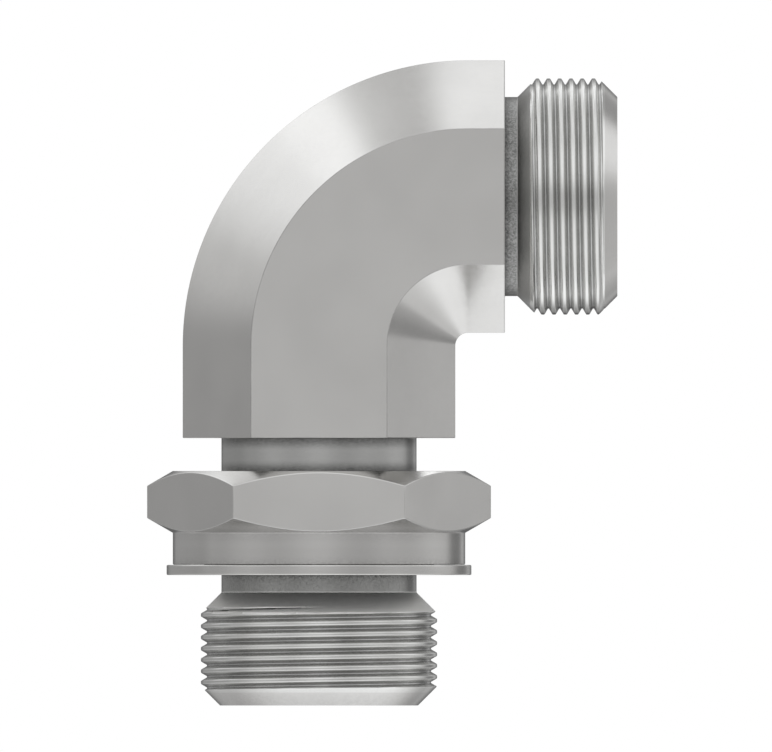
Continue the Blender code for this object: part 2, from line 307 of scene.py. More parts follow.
def thread_tree() -> bpy.types.NodeTree:
    """Make the tree that repeats one pitch of a thread's section along its helix.

    The section comes in as points with the radius on X and the height within the pitch on Z. Every ring of
    the thread is clamped between its two ends and trimmed by a 45 degree cone there, so that the ridge runs
    out into the cone over a softened edge. Side is 1 for a thread on a rod, and -1 for a thread in a hole.

    Returns:
        The tree.
    """
    tree = new_group(
        "thread_turns",
        "GeometryNodeTree",
        {
            "Section": "Geometry",
            "Section Points": ("Int", 13),
            "Columns": ("Int", COLUMNS),
            "Turns": ("Int", 8),
            "Pitch": ("Float", 0.002),
            "Start": ("Float", 0.0),
            "Low End": ("Float", 0.0),
            "High End": ("Float", 0.01),
            "Low Radius": ("Float", 0.02),
            "High Radius": ("Float", 0.02),
            "Side": ("Float", 1.0),
            "Softness": ("Float", 0.0002),
        },
        {"Turns": "Geometry"},
    )
    write = TreeWriter(tree)
    given = write.add("NodeGroupInput").outputs
    rows = write.plus(write.times(given["Turns"], given["Section Points"]), 1.0)
    columns = write.plus(given["Columns"], 1.0)
    grid = write.add(
        "GeometryNodeMeshGrid", {"Size X": 1.0, "Size Y": 1.0, "Vertices X": columns, "Vertices Y": rows}
    )

    index = write.add("GeometryNodeInputIndex").outputs[0]
    column = write.math("FLOOR", write.over(write.plus(index, 0.5), rows))
    row = write.minus(index, write.times(column, rows))
    turn = write.math("FLOOR", write.over(write.plus(row, 0.5), given["Section Points"]))
    section_index = write.minus(row, write.times(turn, given["Section Points"]))
    along_turn = write.over(column, given["Columns"])
    angle = write.times(along_turn, 2 * math.pi)

    sample = write.add("GeometryNodeSampleIndex", data_type="FLOAT_VECTOR", domain="POINT")
    write.feed(sample.inputs["Geometry"], given["Section"])
    write.feed(sample.inputs["Value"], write.add("GeometryNodeInputPosition").outputs[0])
    write.feed(sample.inputs["Index"], section_index)
    section = write.add("ShaderNodeSeparateXYZ", {0: sample.outputs[0]}).outputs

    climb = write.times(write.plus(turn, along_turn), given["Pitch"])
    free_height = write.plus(write.plus(given["Start"], climb), section["Z"])
    height = write.add(
        "ShaderNodeClamp", {"Value": free_height, "Min": given["Low End"], "Max": given["High End"]}
    ).outputs[0]
    above_low = write.minus(height, given["Low End"])
    below_high = write.minus(given["High End"], height)
    low_cone = write.plus(write.times(given["Low Radius"], given["Side"]), above_low)
    high_cone = write.plus(write.times(given["High Radius"], given["Side"]), below_high)
    ridge = write.times(section["X"], given["Side"])
    cone = write.math("MINIMUM", low_cone, high_cone)
    room = write.math("MINIMUM", write.math("MINIMUM", above_low, below_high), given["Softness"])
    trimmed = write.add("ShaderNodeMath", {0: ridge, 1: cone, 2: room}, operation="SMOOTH_MIN").outputs[0]
    radius = write.times(trimmed, given["Side"])
    across = write.times(radius, write.math("COSINE", angle))
    aside = write.times(radius, write.math("SINE", angle))
    place = write.add("ShaderNodeCombineXYZ", {"X": across, "Y": aside, "Z": height})

    wound = write.add(
        "GeometryNodeSetPosition", {"Geometry": grid.outputs["Mesh"], "Position": place.outputs[0]}
    )
    welded = write.add(
        "GeometryNodeMergeByDistance", {"Geometry": wound.outputs[0], "Distance": WELD_DISTANCE}
    )
    real = write.add("GeometryNodeRealizeInstances", {"Geometry": welded.outputs[0]})
    dressed = write.add("GeometryNodeSetMaterial", {"Geometry": real.outputs[0]})
    write.add("NodeGroupOutput", {0: dressed.outputs[0]})
    return tree


def bent_bar_tree() -> bpy.types.NodeTree:
    """Make the tree that sweeps a polygon along a path with a round bend.

    The path comes in as a line of three points. The polygon's ridges may be rounded.

    Returns:
        The tree.
    """
    tree = new_group(
        "bent_bar",
        "GeometryNodeTree",
        {
            "Path": "Geometry",
            "Sides": ("Int", 6),
            "Corner Radius": ("Float", 0.02),
            "Ridge Radius": ("Float", 0.0003),
            "Ridge Steps": ("Int", 4),
            "Bend Radius": ("Float", 0.026),
            "Bend Steps": ("Int", BEND_STEPS),
        },
        {"Bar": "Geometry"},
    )
    write = TreeWriter(tree)
    given = write.add("NodeGroupInput").outputs
    line = write.add("GeometryNodeMeshToCurve", {0: given["Path"]})
    path = write.add(
        "GeometryNodeFilletCurve",
        {"Curve": line.outputs[0], "Radius": given["Bend Radius"], "Count": given["Bend Steps"]},
        mode="POLY",
    )
    polygon = write.add(
        "GeometryNodeCurvePrimitiveCircle", {"Resolution": given["Sides"], "Radius": given["Corner Radius"]}
    )
    section = write.add(
        "GeometryNodeFilletCurve",
        {"Curve": polygon.outputs[0], "Radius": given["Ridge Radius"], "Count": given["Ridge Steps"]},
        mode="POLY",
    )
    bar = write.add(
        "GeometryNodeCurveToMesh", {"Curve": path.outputs[0], "Profile Curve": section.outputs[0]}
    )
    real = write.add("GeometryNodeRealizeInstances", {"Geometry": bar.outputs[0]})
    dressed = write.add("GeometryNodeSetMaterial", {"Geometry": real.outputs[0]})
    write.add("NodeGroupOutput", {0: dressed.outputs[0]})
    return tree


def rounded(corners: list[tuple[float, float, float]], steps: int = CORNER_STEPS) -> np.ndarray:
    """Round the corners of an open outline.

    Args:
        corners: Radius, height and rounding of each corner, in order.
        steps: Number of segments in each rounding.

    Returns:
        Array of (radius, height) points. Their number depends only on which corners are rounded.
    """
    spots = [np.array(corner[:2], float) for corner in corners]
    outline = []
    for index, (spot, corner) in enumerate(zip(spots, corners)):
        rounding = corner[2]
        if rounding <= 0.0 or index in (0, len(corners) - 1):
            outline.append(spot)
            continue
        back = spots[index - 1] - spot
        ahead = spots[index + 1] - spot
        room = min(np.linalg.norm(back), np.linalg.norm(ahead)) * ROOM_SHARE
        back = back / np.linalg.norm(back)
        ahead = ahead / np.linalg.norm(ahead)
        half_turn = (math.pi - math.acos(max(-1.0, min(1.0, float(back @ ahead))))) / 2
        cut = min(rounding * math.tan(half_turn), room)
        radius = cut / math.tan(half_turn)
        middle = (back + ahead) / np.linalg.norm(back + ahead)
        centre = spot + middle * radius / math.cos(half_turn)
        arm = spot + back * cut - centre
        side = math.copysign(1.0, back[0] * ahead[1] - back[1] * ahead[0])
        for step in range(steps + 1):
            swing = -side * 2 * half_turn * step / steps
            turned = (
                arm[0] * math.cos(swing) - arm[1] * math.sin(swing),
                arm[0] * math.sin(swing) + arm[1] * math.cos(swing),
            )
            outline.append(centre + np.array(turned))
    return np.array(outline)


def along(start: np.ndarray, stop: np.ndarray, shares: tuple[float, ...]) -> np.ndarray:
    """Return points on the straight line between two points.

    Args:
        start: First point.
        stop: Last point.
        shares: Shares of the way at which the points lie.

    Returns:
        The points, one in each row.
    """
    return np.array([start + (stop - start) * share for share in shares])


@dataclass(frozen=True)
class ThreadForm:
    """Section of a right-handed 60 degree thread.

    Attributes:
        pitch: Height that one turn gains.
        crest_radius: Radius at the crests.
        root_radius: Radius at the roots.
        crest_land: Width of the crest before its edges are rounded.
        crest_rounding: Rounding of the crest's edges.
        root_rounding: Rounding of the root's edges.
        longest_step: Longest step between two points of the section.
    """

    pitch: float = 0.0020
    crest_radius: float = 0.0210
    root_radius: float = 0.01992
    crest_land: float = 0.00056
    crest_rounding: float = 0.00020
    root_rounding: float = 0.00016
    longest_step: float = 0.00026

    def section(self, shift: float = 0.0) -> np.ndarray:
        """Return one pitch of the section, from root to root.

        Args:
            shift: Distance outwards by which the whole section is moved, for the nut's own thread.

        Returns:
            Array of (radius, height) points without the last, which is the first of the next pitch.
        """
        crest = self.crest_radius + shift
        root = self.root_radius + shift
        middle = self.pitch / 2
        half_land = self.crest_land / 2
        foot = half_land + (crest - root) * math.tan(math.radians(30.0))
        outline = rounded(
            [
                (root, 0.0, 0.0),
                (root, middle - foot, self.root_rounding),
                (crest, middle - half_land, self.crest_rounding),
                (crest, middle + half_land, self.crest_rounding),
                (root, middle + foot, self.root_rounding),
                (root, self.pitch, 0.0),
            ],
            steps=2,
        )
        points = []
        for here, ahead in zip(outline[:-1], outline[1:]):
            pieces = math.ceil(np.linalg.norm(ahead - here) / self.longest_step)
            points.extend(along(here, ahead, tuple(piece / pieces for piece in range(pieces))))
        return np.array(points)


@dataclass(frozen=True)
class ThreadRun:
    """One threaded length.

    Attributes:
        low: Height at which the run starts, on its lower cone.
        high: Height at which it ends, on its upper cone.
        low_radius: Radius there on the lower cone.
        high_radius: Radius there on the upper cone.
        crest_at_front: Height of any one crest on the front, at 270 degrees.
        side: 1 for a thread on a rod and -1 for a thread in a hole.
        shift: Distance outwards by which the section is moved.
    """

    low: float
    high: float
    low_radius: float
    high_radius: float
    crest_at_front: float
    side: float = 1.0
    shift: float = 0.0

    def mesh(self, form: ThreadForm, tree: bpy.types.NodeTree) -> bpy.types.Mesh:
        """Wind the run.

        Args:
            form: The thread's section.
            tree: The tree that repeats it.

        Returns:
            An open tube of faces about Z, which ends in two circles.
        """
        section = form.section(self.shift)
        source = bpy.data.meshes.new("thread_section")
        source.from_pydata([(radius, 0.0, height) for radius, height in section], [], [])
        start = self.crest_at_front - 1.25 * form.pitch
        start -= math.ceil((start - self.low) / form.pitch + 1.0) * form.pitch
        turns = math.ceil((self.high - start) / form.pitch)
        return made_by_nodes(
            source,
            tree,
            {
                "Section Points": len(section),
                "Columns": COLUMNS,
                "Turns": turns,
                "Pitch": form.pitch,
                "Start": start,
                "Low End": self.low,
                "High End": self.high,
                "Low Radius": self.low_radius,
                "High Radius": self.high_radius,
                "Side": self.side,
            },
        )


class Shell:
    """The faces of one closed piece, gathered part by part and welded at the end."""

    def __init__(self, name: str, finishes: list[bpy.types.Material]) -> None:
        """Start an empty shell.

        Args:
            name: Name of the piece.
            finishes: Its materials; each part says which by number.
        """
        self.name = name
        self.finishes = finishes
        self.bm = bmesh.new()

    def add_mesh(self, mesh: bpy.types.Mesh, finish: int, place: Matrix) -> None:
        """Take in a mesh and remove the original.

        Args:
            mesh: The mesh.
            finish: Number of its material.
            place: Where it goes.
        """
        mesh.transform(place)
        known = len(self.bm.faces)
        self.bm.from_mesh(mesh)
        self.bm.faces.ensure_lookup_table()
        for face in self.bm.faces[known:]:
            face.material_index = finish
        bpy.data.meshes.remove(mesh)

    def add_turned(
        self,
        outlines: np.ndarray,
        finish: int,
        place: Matrix,
        angles: np.ndarray | None = None,
        closed: bool = False,
    ) -> None:
        """Turn an outline about Z and take in the faces.

        Args:
            outlines: One outline of (radius, height) points, or one for each angle.
            finish: Number of the material.
            place: Where the turned shape goes.
            angles: Angle of each column, or of each point of each column, or None for even columns.
            closed: True where the outline's last point meets its first.
        """
        if angles is None:
            angles = np.arange(COLUMNS) * 2 * math.pi / COLUMNS
        count = len(angles)
        if outlines.ndim == 2:
            outlines = np.repeat(outlines[None, :, :], count, axis=0)
        rows = outlines.shape[1]
        if angles.ndim == 1:
            angles = angles[:, None]
        points = np.empty((count, rows, 3))
        points[:, :, 0] = outlines[:, :, 0] * np.cos(angles)
        points[:, :, 1] = outlines[:, :, 0] * np.sin(angles)
        points[:, :, 2] = outlines[:, :, 1]
        faces = []
        for column in range(count):
            ahead = (column + 1) % count
            for row in range(rows if closed else rows - 1):
                above = (row + 1) % rows
                faces.append(
                    (column * rows + row, ahead * rows + row, ahead * rows + above, column * rows + above)
                )
        mesh = bpy.data.meshes.new("turned")
        mesh.from_pydata(points.reshape(-1, 3).tolist(), [], faces)
        self.add_mesh(mesh, finish, place)

    def open_edges(self, centre: Vector, axis: Vector) -> list[bmesh.types.BMEdge]:
        """Return the open edges that lie in the plane through centre across axis."""
        open_ones = (edge for edge in self.bm.edges if edge.is_boundary)
        return [
            edge
            for edge in open_ones
            if all(abs((vert.co - centre).dot(axis)) < PLANE_TOLERANCE for vert in edge.verts)
        ]

    def round_end(self, centre: Vector, axis: Vector, flat: float, rounding: float, steps: int = 4) -> None:
        """Carry the open end of a bar round its end edge.

        Args:
            centre: Centre of the open end.
            axis: Direction outwards along the bar.
            flat: Half the bar's width across flats.
            rounding: Radius of the rounded edge.
            steps: Number of segments in it.
        """
        loop = self.open_edges(centre, axis)
        scale = 1.0
        for step in range(1, steps + 1):
            angle = math.pi / 2 * step / steps
            made = bmesh.ops.extrude_edge_only(self.bm, edges=loop)["geom"]
            verts = [part for part in made if isinstance(part, bmesh.types.BMVert)]
            for face in {face for vert in verts for face in vert.link_faces}:
                face.material_index = loop[0].link_faces[0].material_index
            depth = rounding * math.sin(angle)
            new_scale = (flat - rounding * (1.0 - math.cos(angle))) / flat
            for vert in verts:
                arm = vert.co - centre
                arm -= axis * arm.dot(axis)
                vert.co = centre + arm * (new_scale / scale) + axis * depth
            scale = new_scale
            loop = [part for part in made if isinstance(part, bmesh.types.BMEdge)]

    def fill_between(self, centre: Vector, axis: Vector, finish: int) -> None:
        """Fill the flat face between two open loops in one plane.

        Args:
            centre: Any point of the plane.
            axis: Direction across the plane.
            finish: Number of the material.
        """
        edges = self.open_edges(centre, axis)
        made = bmesh.ops.triangle_fill(self.bm, use_beauty=True, use_dissolve=False, edges=edges)["geom"]
        for part in made:
            if isinstance(part, bmesh.types.BMFace):
                part.material_index = finish

    def weld(self) -> None:
        """Merge the points where the parts meet."""
        bmesh.ops.remove_doubles(self.bm, verts=self.bm.verts, dist=WELD_DISTANCE)

    def piece(self) -> bpy.types.Object:
        """Turn the closed shell into an object that shades smoothly between sharp edges.

        Returns:
            The object, at the origin, with its place in its mesh.

        Raises:
            RuntimeError: The shell isn't closed.
        """
        self.weld()
        bmesh.ops.recalc_face_normals(self.bm, faces=self.bm.faces)
        loose = [edge for edge in self.bm.edges if not edge.is_manifold]
        if loose:
            places = [tuple(round(1000 * c, 2) for c in edge.verts[0].co) for edge in loose[:6]]
            raise RuntimeError(f"{self.name} has {len(loose)} open edges, the first near {places} mm")
        mesh = bpy.data.meshes.new(self.name)
        self.bm.to_mesh(mesh)
        self.bm.free()
        for finish in self.finishes:
            mesh.materials.append(finish)
        mesh.shade_smooth()
        mesh.set_sharp_from_angle(angle=SHARP_ANGLE)
        made = bpy.data.objects.new(self.name, mesh)
        bpy.context.scene.collection.objects.link(made)
        weight = made.modifiers.new("even_shading", "WEIGHTED_NORMAL")
        weight.keep_sharp = True
        weight.weight = 75
        plain = bpy.data.meshes.new_from_object(made.evaluated_get(bpy.context.evaluated_depsgraph_get()))
        made.modifiers.remove(weight)
        made.data = plain
        bpy.data.meshes.remove(mesh)
        plain.name = self.name
        triangles = sum(len(polygon.vertices) - 2 for polygon in plain.polygons)
        LOG.info("%s: %d triangles, %s", self.name, triangles, ", ".join(f.name for f in self.finishes))
        return made


class LatheAxis(Enum):
    """The axis about which a surface was turned on the lathe."""

    NONE = "none"
    STUD = "stud"
    TUBE = "tube"


class BodyFinish(IntEnum):
    """Number of each finish of the elbow's body."""

    BAR = 0
    NECK = 1
    STUD_THREAD = 2
    TUBE_THREAD = 3
    BORE = 4
    SOCKET = 5
    TUBE_NECK = 6
    STUD_CONE = 7
    TUBE_CONE = 8
    WAIST = 9


class NutFinish(IntEnum):
    """Number of each finish of the lock nut."""

    NUT_FLATS = 0
    NUT_TURNED = 1
    STUD_THREAD = 2
    NUT_UNDER = 3


class SteelGroups:
    """The effects that the metal finishes share, each a shader node group that is built once."""

    def __init__(self) -> None:
        """Build the groups."""
        self.grain = self.build_grain()
        self.marks = self.build_turning_marks()
        self.edge_wear_and_shading = self.build_edge_wear_and_shading()
        self.gap_shade = self.build_gap_shade()

    @staticmethod
    def build_grain() -> bpy.types.NodeTree:
        """Build the fine grain of plated steel.

        Returns:
            Group with a height, a slow tone that drifts over the piece and a fine speckle.
        """
        tree = new_group(
            "plating_grain",
            "ShaderNodeTree",
            {"Vector": "Vector", "Grain Per Metre": ("Float", 3000.0), "Drift Per Metre": ("Float", 60.0)},
            {"Height": "Float", "Drift": "Float", "Speckle": "Float"},
        )
        write = TreeWriter(tree)
        given = write.add("NodeGroupInput").outputs
        point = given["Vector"]
        fine = write.noise(point, given["Grain Per Metre"], 3.0, 0.62)
        coarse = write.noise(point, write.times(given["Grain Per Metre"], 0.27), 2.0)
        mixed = write.plus(write.times(fine, 0.65), write.times(coarse, 0.35))
        drift = write.span(write.noise(point, given["Drift Per Metre"], 2.0), 0.3, 0.7)
        speckle = write.span(mixed, 0.38, 0.62)
        write.add("NodeGroupOutput", {"Height": mixed, "Drift": drift, "Speckle": speckle})
        return tree

    @staticmethod
    def build_turning_marks() -> bpy.types.NodeTree:
        """Build the fine rings that a lathe tool leaves.

        Lead is the height that the marks gain in a turn, which is the pitch on a thread and nothing
        elsewhere.

        Returns:
            Group that takes a point with the lathe's axis on Z and gives a height, a tone and the distance
            from the axis.
        """
        tree = new_group(
            "turning_marks",
            "ShaderNodeTree",
            {"Vector": "Vector", "Marks Per Metre": ("Float", 6000.0), "Lead": ("Float", 0.0)},
            {"Height": "Float", "Tone": "Float", "Radius": "Float"},
        )
        write = TreeWriter(tree)
        given = write.add("NodeGroupInput").outputs
        spot = write.add("ShaderNodeSeparateXYZ", {0: given["Vector"]}).outputs
        flat = write.add("ShaderNodeCombineXYZ", {"X": spot["X"], "Y": spot["Y"]})
        radius = write.vector("LENGTH", flat.outputs[0]).outputs["Value"]
        turn = write.over(write.math("ARCTAN2", spot["Y"], spot["X"]), 2 * math.pi)
        lead = write.math("MAXIMUM", given["Lead"], 0.000001)
        wound = write.minus(write.over(spot["Z"], lead), turn)
        phase = write.times(write.math("FRACT", wound), lead)
        threaded = write.math("GREATER_THAN", given["Lead"], 0.00001)
        plain = write.times(write.minus(1.0, threaded), spot["Z"])
        climbed = write.plus(plain, write.times(threaded, phase))
        ring = write.add("ShaderNodeCombineXYZ", {"X": radius, "Z": climbed}).outputs[0]
        cut = write.noise(ring, given["Marks Per Metre"], 2.0, 0.7)
        slow = write.noise(ring, write.times(given["Marks Per Metre"], 0.12), 1.0)
        tone = write.span(write.plus(write.times(cut, 0.5), write.times(slow, 0.5)), 0.35, 0.65)
        write.add("NodeGroupOutput", {"Height": cut, "Tone": tone, "Radius": radius})
        return tree

    @staticmethod
    def build_edge_wear_and_shading() -> bpy.types.NodeTree:
        """Build the line along edges, which is partly wear on handled edges and partly painted light: a
        painted highlight where the edge tone is light, and a painted shade line where it is dark.

        Returns:
            Group with a mask that is 1 on edges, for wear and painted edge light.
        """
        tree = new_group(
            "edge_wear_and_painted_light",
            "ShaderNodeTree",
            {"Vector": "Vector", "Width": ("Float", 0.0004), "Unevenness": ("Float", 0.5)},
            {"Mask": "Float"},
        )
        write = TreeWriter(tree)
        given = write.add("NodeGroupInput").outputs
        soft = write.add("ShaderNodeBevel", {"Radius": given["Width"]}, samples=4)
        true = write.add("ShaderNodeNewGeometry")
        match = write.vector("DOT_PRODUCT", soft.outputs[0], true.outputs["Normal"]).outputs["Value"]
        edge = write.span(match, 0.995, 0.93)
        uneven = write.span(write.noise(given["Vector"], 260.0, 3.0), 0.3, 0.7)
        kept = write.minus(1.0, write.times(uneven, given["Unevenness"]))
        write.add("NodeGroupOutput", {"Mask": write.times(edge, kept)})
        return tree

    @staticmethod
    def build_gap_shade() -> bpy.types.NodeTree:
        """Build the painted shade that darkens corners and narrow gaps, from ambient occlusion.

        Returns:
            Group with a painted shade mask that grows towards the foot of a gap, broken up by the grain.
        """
        tree = new_group(
            "painted_gap_shade",
            "ShaderNodeTree",
            {"Speckle": "Float", "Reach": ("Float", 0.004), "Raggedness": ("Float", 0.4)},
            {"Mask": "Float"},
        )
        write = TreeWriter(tree)
        given = write.add("NodeGroupInput").outputs
        shade = write.add("ShaderNodeAmbientOcclusion", {"Distance": given["Reach"]}, samples=8)
        closed = write.minus(1.0, shade.outputs["AO"])
        ragged = write.times(write.minus(given["Speckle"], 0.5), given["Raggedness"])
        broken = write.times(closed, write.plus(1.0, ragged))
        mask = write.add("ShaderNodeClamp", {"Value": broken})
        write.add("NodeGroupOutput", {"Mask": mask.outputs[0]})
        return tree


@dataclass(frozen=True)
class PlatedSteel:
    """Satin zinc-plated steel.

    Attributes:
        name: Name of the material.
        colour: Its colour as it is written.
        roughness: Roughness in the middle of its range.
        roughness_swing: How far the grain moves the roughness.
        grain: Grains in a metre.
        grain_depth: Height of the grain.
        drift: Slow patches in a metre.
        tone_swing: How far the patches and the turning marks move the colour.
        speckle: How far single grains darken the colour.
        speckle_tone: Colour of those grains as a multiple of the piece's.
        lathe: Axis of the turning marks.
        marks: Marks in a metre.
        mark_depth: Height of the marks.
        mark_tone: Colour in the marks as a multiple of the piece's.
        worn_and_shaded: How far edges take on the edge tone, as wear and painted light.
        edge_tone: The edges' colour as a multiple of the piece's; above 1 it paints a highlight, and below 1
            a shade line.
        edge_width: Width of the band along an edge.
        gap_shade_strength: How far gaps are darkened with painted shade.
        gap_shade_reach: How far the painted shade reaches out of a gap.
        gap_shade_ragged: How far the grain breaks the painted shade up.
        shade_tone: Colour of the painted shade as a multiple of the piece's.
        root_shade: How far the roots of a thread are darkened as painted shade.
        root_band: Distances above the root's radius over which that fades out.
        root_span: Places on the lathe's axis between which the roots are darkened.
        root_fade: Length over which that fades in at either end.
        corner_shade: How far the corners along the lathe's axis are darkened as painted shade.
        corners: Place on that axis and reach of the painted shade, for each such corner.
        lead: Height that the turning marks gain in a turn.
    """

    name: str
    colour: tuple[float, float, float] = (0.645, 0.638, 0.624)
    roughness: float = 0.24
    roughness_swing: float = 0.05
    grain: float = 3200.0
    grain_depth: float = 0.0000012
    drift: float = 45.0
    tone_swing: float = 0.05
    speckle: float = 0.0
    speckle_tone: float = 0.35
    lathe: LatheAxis = LatheAxis.NONE
    marks: float = 6000.0
    mark_depth: float = 0.000002
    mark_tone: float = 0.6
    worn_and_shaded: float = 0.5
    edge_tone: float = 1.45
    edge_width: float = 0.0004
    gap_shade_strength: float = 0.25
    gap_shade_reach: float = 0.003
    gap_shade_ragged: float = 0.4
    shade_tone: float = 0.15
    root_shade: float = 0.0
    root_band: tuple[float, float] = (0.0001, 0.00045)
    root_span: tuple[float, float] = (0.0, 1.0)
    root_fade: float = 0.0003
    corner_shade: float = 0.0
    corners: tuple[tuple[float, float], ...] = ()
    lead: float = 0.0

    def material(self, groups: SteelGroups, sizes: FittingSizes) -> bpy.types.Material:
        """Build the material.

        Args:
            groups: The shared effects.
            sizes: Places of the two lathe axes.

        Returns:
            The material.
        """
        material, write = new_material(self.name, self.colour)
        point = write.add("ShaderNodeTexCoord").outputs["Object"]
        grain = write.group(
            groups.grain, {"Vector": point, "Grain Per Metre": self.grain, "Drift Per Metre": self.drift}
        )
        dark = toned(self.colour, 1.0 - self.tone_swing)
        light = toned(self.colour, 1.0 + self.tone_swing * 0.6)
        colour = write.blend(grain.outputs["Drift"], dark, light)
        if self.speckle > 0.0:
            amount = write.times(grain.outputs["Speckle"], self.speckle)
            colour = write.blend(amount, colour, toned(self.colour, self.speckle_tone))
        swing = write.times(grain.outputs["Speckle"], self.roughness_swing)
        rough = write.plus(self.roughness - self.roughness_swing / 2, swing)
        height = write.times(grain.outputs["Height"], self.grain_depth)
        if self.lathe is not LatheAxis.NONE:
            spot = self.lathe_point(write, sizes, point)
            marks = write.group(
                groups.marks, {"Vector": spot, "Marks Per Metre": self.marks, "Lead": self.lead}
            )
            height = write.plus(height, write.times(marks.outputs["Height"], self.mark_depth))
            amount = write.times(marks.outputs["Tone"], self.tone_swing * 1.5)
            colour = write.blend(amount, colour, toned(self.colour, self.mark_tone))
            colour = self.darken_along_axis(write, spot, marks, grain, colour)

        # Painted shade: ambient occlusion darkens the colour in gaps and corners.
        gap_shade = write.group(
            groups.gap_shade,
            {"Speckle": grain.outputs["Speckle"], "Reach": self.gap_shade_reach, "Raggedness": self.gap_shade_ragged},
        )
        amount = write.times(gap_shade.outputs["Mask"], self.gap_shade_strength)
        colour = write.blend(amount, colour, toned(self.colour, self.shade_tone))
        # Edges: partly wear and partly painted light; a light edge tone paints a highlight, and a dark one
        # paints a shade line.
        edge_wear_and_shading = write.group(groups.edge_wear_and_shading, {"Vector": point, "Width": self.edge_width})
        amount = write.times(edge_wear_and_shading.outputs["Mask"], self.worn_and_shaded)
        colour = write.blend(amount, colour, toned(self.colour, self.edge_tone))
        write.surface(colour, rough, height, metallic=1.0)
        return material

    def lathe_point(
        self, write: TreeWriter, sizes: FittingSizes, point: bpy.types.NodeSocket
    ) -> bpy.types.NodeSocket:
        """Turn a point so that the lathe's axis is its Z.

        Args:
            write: Writer of the material's nodes.
            sizes: Places of the two lathe axes.
            point: The point in object coordinates.

        Returns:
            The turned point.
        """
        settle = write.add("ShaderNodeMapping", {"Vector": point}, vector_type="TEXTURE")
        settle.inputs["Location"].default_value = (sizes.stud_axis_x, 0.0, 0.0)
        if self.lathe is LatheAxis.TUBE:
            settle.inputs["Location"].default_value = (sizes.stud_axis_x, 0.0, sizes.tube_height)
            settle.inputs["Rotation"].default_value = (0.0, math.pi / 2, 0.0)
        return settle.outputs[0]

    def darken_along_axis(
        self,
        write: TreeWriter,
        spot: bpy.types.NodeSocket,
        marks: bpy.types.Node,
        grain: bpy.types.Node,
        colour: bpy.types.NodeSocket,
    ) -> bpy.types.NodeSocket:
        """Paint shade into the roots of a thread, and into corners at known places on the lathe's axis.

        Args:
            write: Writer of the material's nodes.
            spot: The point with the lathe's axis on Z.
            marks: The turning marks, which know the distance from the axis.
            grain: The grain, which breaks up the painted shade in the corners.
            colour: The colour so far.

        Returns:
            The new colour.
        """
        shade_colour = toned(self.colour, self.shade_tone)
        reach_along = write.add("ShaderNodeSeparateXYZ", {0: spot}).outputs["Z"]
        # Painted shade in the thread's roots.
        if self.root_shade > 0.0:
            root = ThreadForm.root_radius
            near, clear = self.root_band
            radius = marks.outputs["Radius"]
            amount = write.span(radius, root + near, root + clear, self.root_shade, 0.0)
            low, high = self.root_span
            amount = write.times(amount, write.span(reach_along, low, low + self.root_fade))
            amount = write.times(amount, write.span(reach_along, high - self.root_fade, high, 1.0, 0.0))
            colour = write.blend(amount, colour, shade_colour)
        # Painted shade in corners at the given places along the axis.
        for corner, reach in self.corners:
            away = write.math("ABSOLUTE", write.minus(reach_along, corner))
            near = write.span(away, 0.0, reach, self.corner_shade, 0.0)
            ragged = write.plus(0.8, write.times(grain.outputs["Speckle"], 0.4))
            colour = write.blend(write.times(near, ragged), colour, shade_colour)
        return colour


@dataclass(frozen=True)
class SealRubber:
    """Smooth black nitrile rubber with a faint bloom.

    Attributes:
        name: Name of the material.
        colour: Its colour.
        bloom_tone: Colour of the bloom as a multiple of the rubber's.
        roughness: Its least roughness.
        roughness_swing: How far the grain raises it.
        grain: Grains in a metre.
        grain_depth: Height of the grain.
    """

    name: str = "seal_rubber_black"
    colour: tuple[float, float, float] = (0.10, 0.10, 0.102)
    bloom_tone: float = 1.9
    roughness: float = 0.55
    roughness_swing: float = 0.12
    grain: float = 2400.0
    grain_depth: float = 0.000006

    def material(self, groups: SteelGroups) -> bpy.types.Material:
        """Build the material.

        Args:
            groups: The shared effects.

        Returns:
            The material.
        """
        material, write = new_material(self.name, self.colour)
        point = write.add("ShaderNodeTexCoord").outputs["Object"]
        grain = write.group(groups.grain, {"Vector": point, "Grain Per Metre": self.grain})
        bloom = toned(self.colour, self.bloom_tone)
        colour = write.blend(grain.outputs["Drift"], self.colour + (1.0,), bloom)
        rough = write.plus(self.roughness, write.times(grain.outputs["Speckle"], self.roughness_swing))
        height = write.times(grain.outputs["Height"], self.grain_depth)
        write.surface(colour, rough, height, metallic=0.0)
        return material


def hexagon_columns(
    flat: float, ridge: float, steps: int, flat_points: int
) -> tuple[np.ndarray, np.ndarray]:
    """Return the columns of a hexagon with rounded ridges and corners at 0, 60, ... degrees.

    Args:
        flat: Half the width across flats.
        ridge: Rounding of the ridges.
        steps: Segments in each rounded ridge.
        flat_points: Points along each flat between its two ridges.

    Returns:
        The angle of each column, from the first corner's far side on, and the hexagon's radius there.
    """
    corner = flat / math.cos(HALF_SIXTH)
    points = []
    inset = ridge * math.tan(HALF_SIXTH)
    for side in range(6):
        here = math.radians(60 * side)
        ahead = math.radians(60 * (side + 1))
        start = np.array((math.cos(here), math.sin(here))) * corner
        stop = np.array((math.cos(ahead), math.sin(ahead))) * corner
        length = np.linalg.norm(stop - start)
        way = (stop - start) / length
        centre = np.array((math.cos(here), math.sin(here))) * (corner - ridge / math.cos(HALF_SIXTH))
        for step in range(steps):
            swing = here + math.radians(-30.0 + 60.0 * step / steps)
            points.append(centre + ridge * np.array((math.cos(swing), math.sin(swing))))
        first = inset + BESIDE_RIDGE[-1]
        places = [inset + step for step in BESIDE_RIDGE]
        places += list(np.linspace(first, length - inset - BESIDE_RIDGE[-1], flat_points)[1:-1])
        places += [length - inset - step for step in reversed(BESIDE_RIDGE[1:])]
        for place in places:
            points.append(start + way * place)
    points = np.array(points)
    angles = np.unwrap(np.arctan2(points[:, 1], points[:, 0]))
    return angles, np.linalg.norm(points, axis=1)


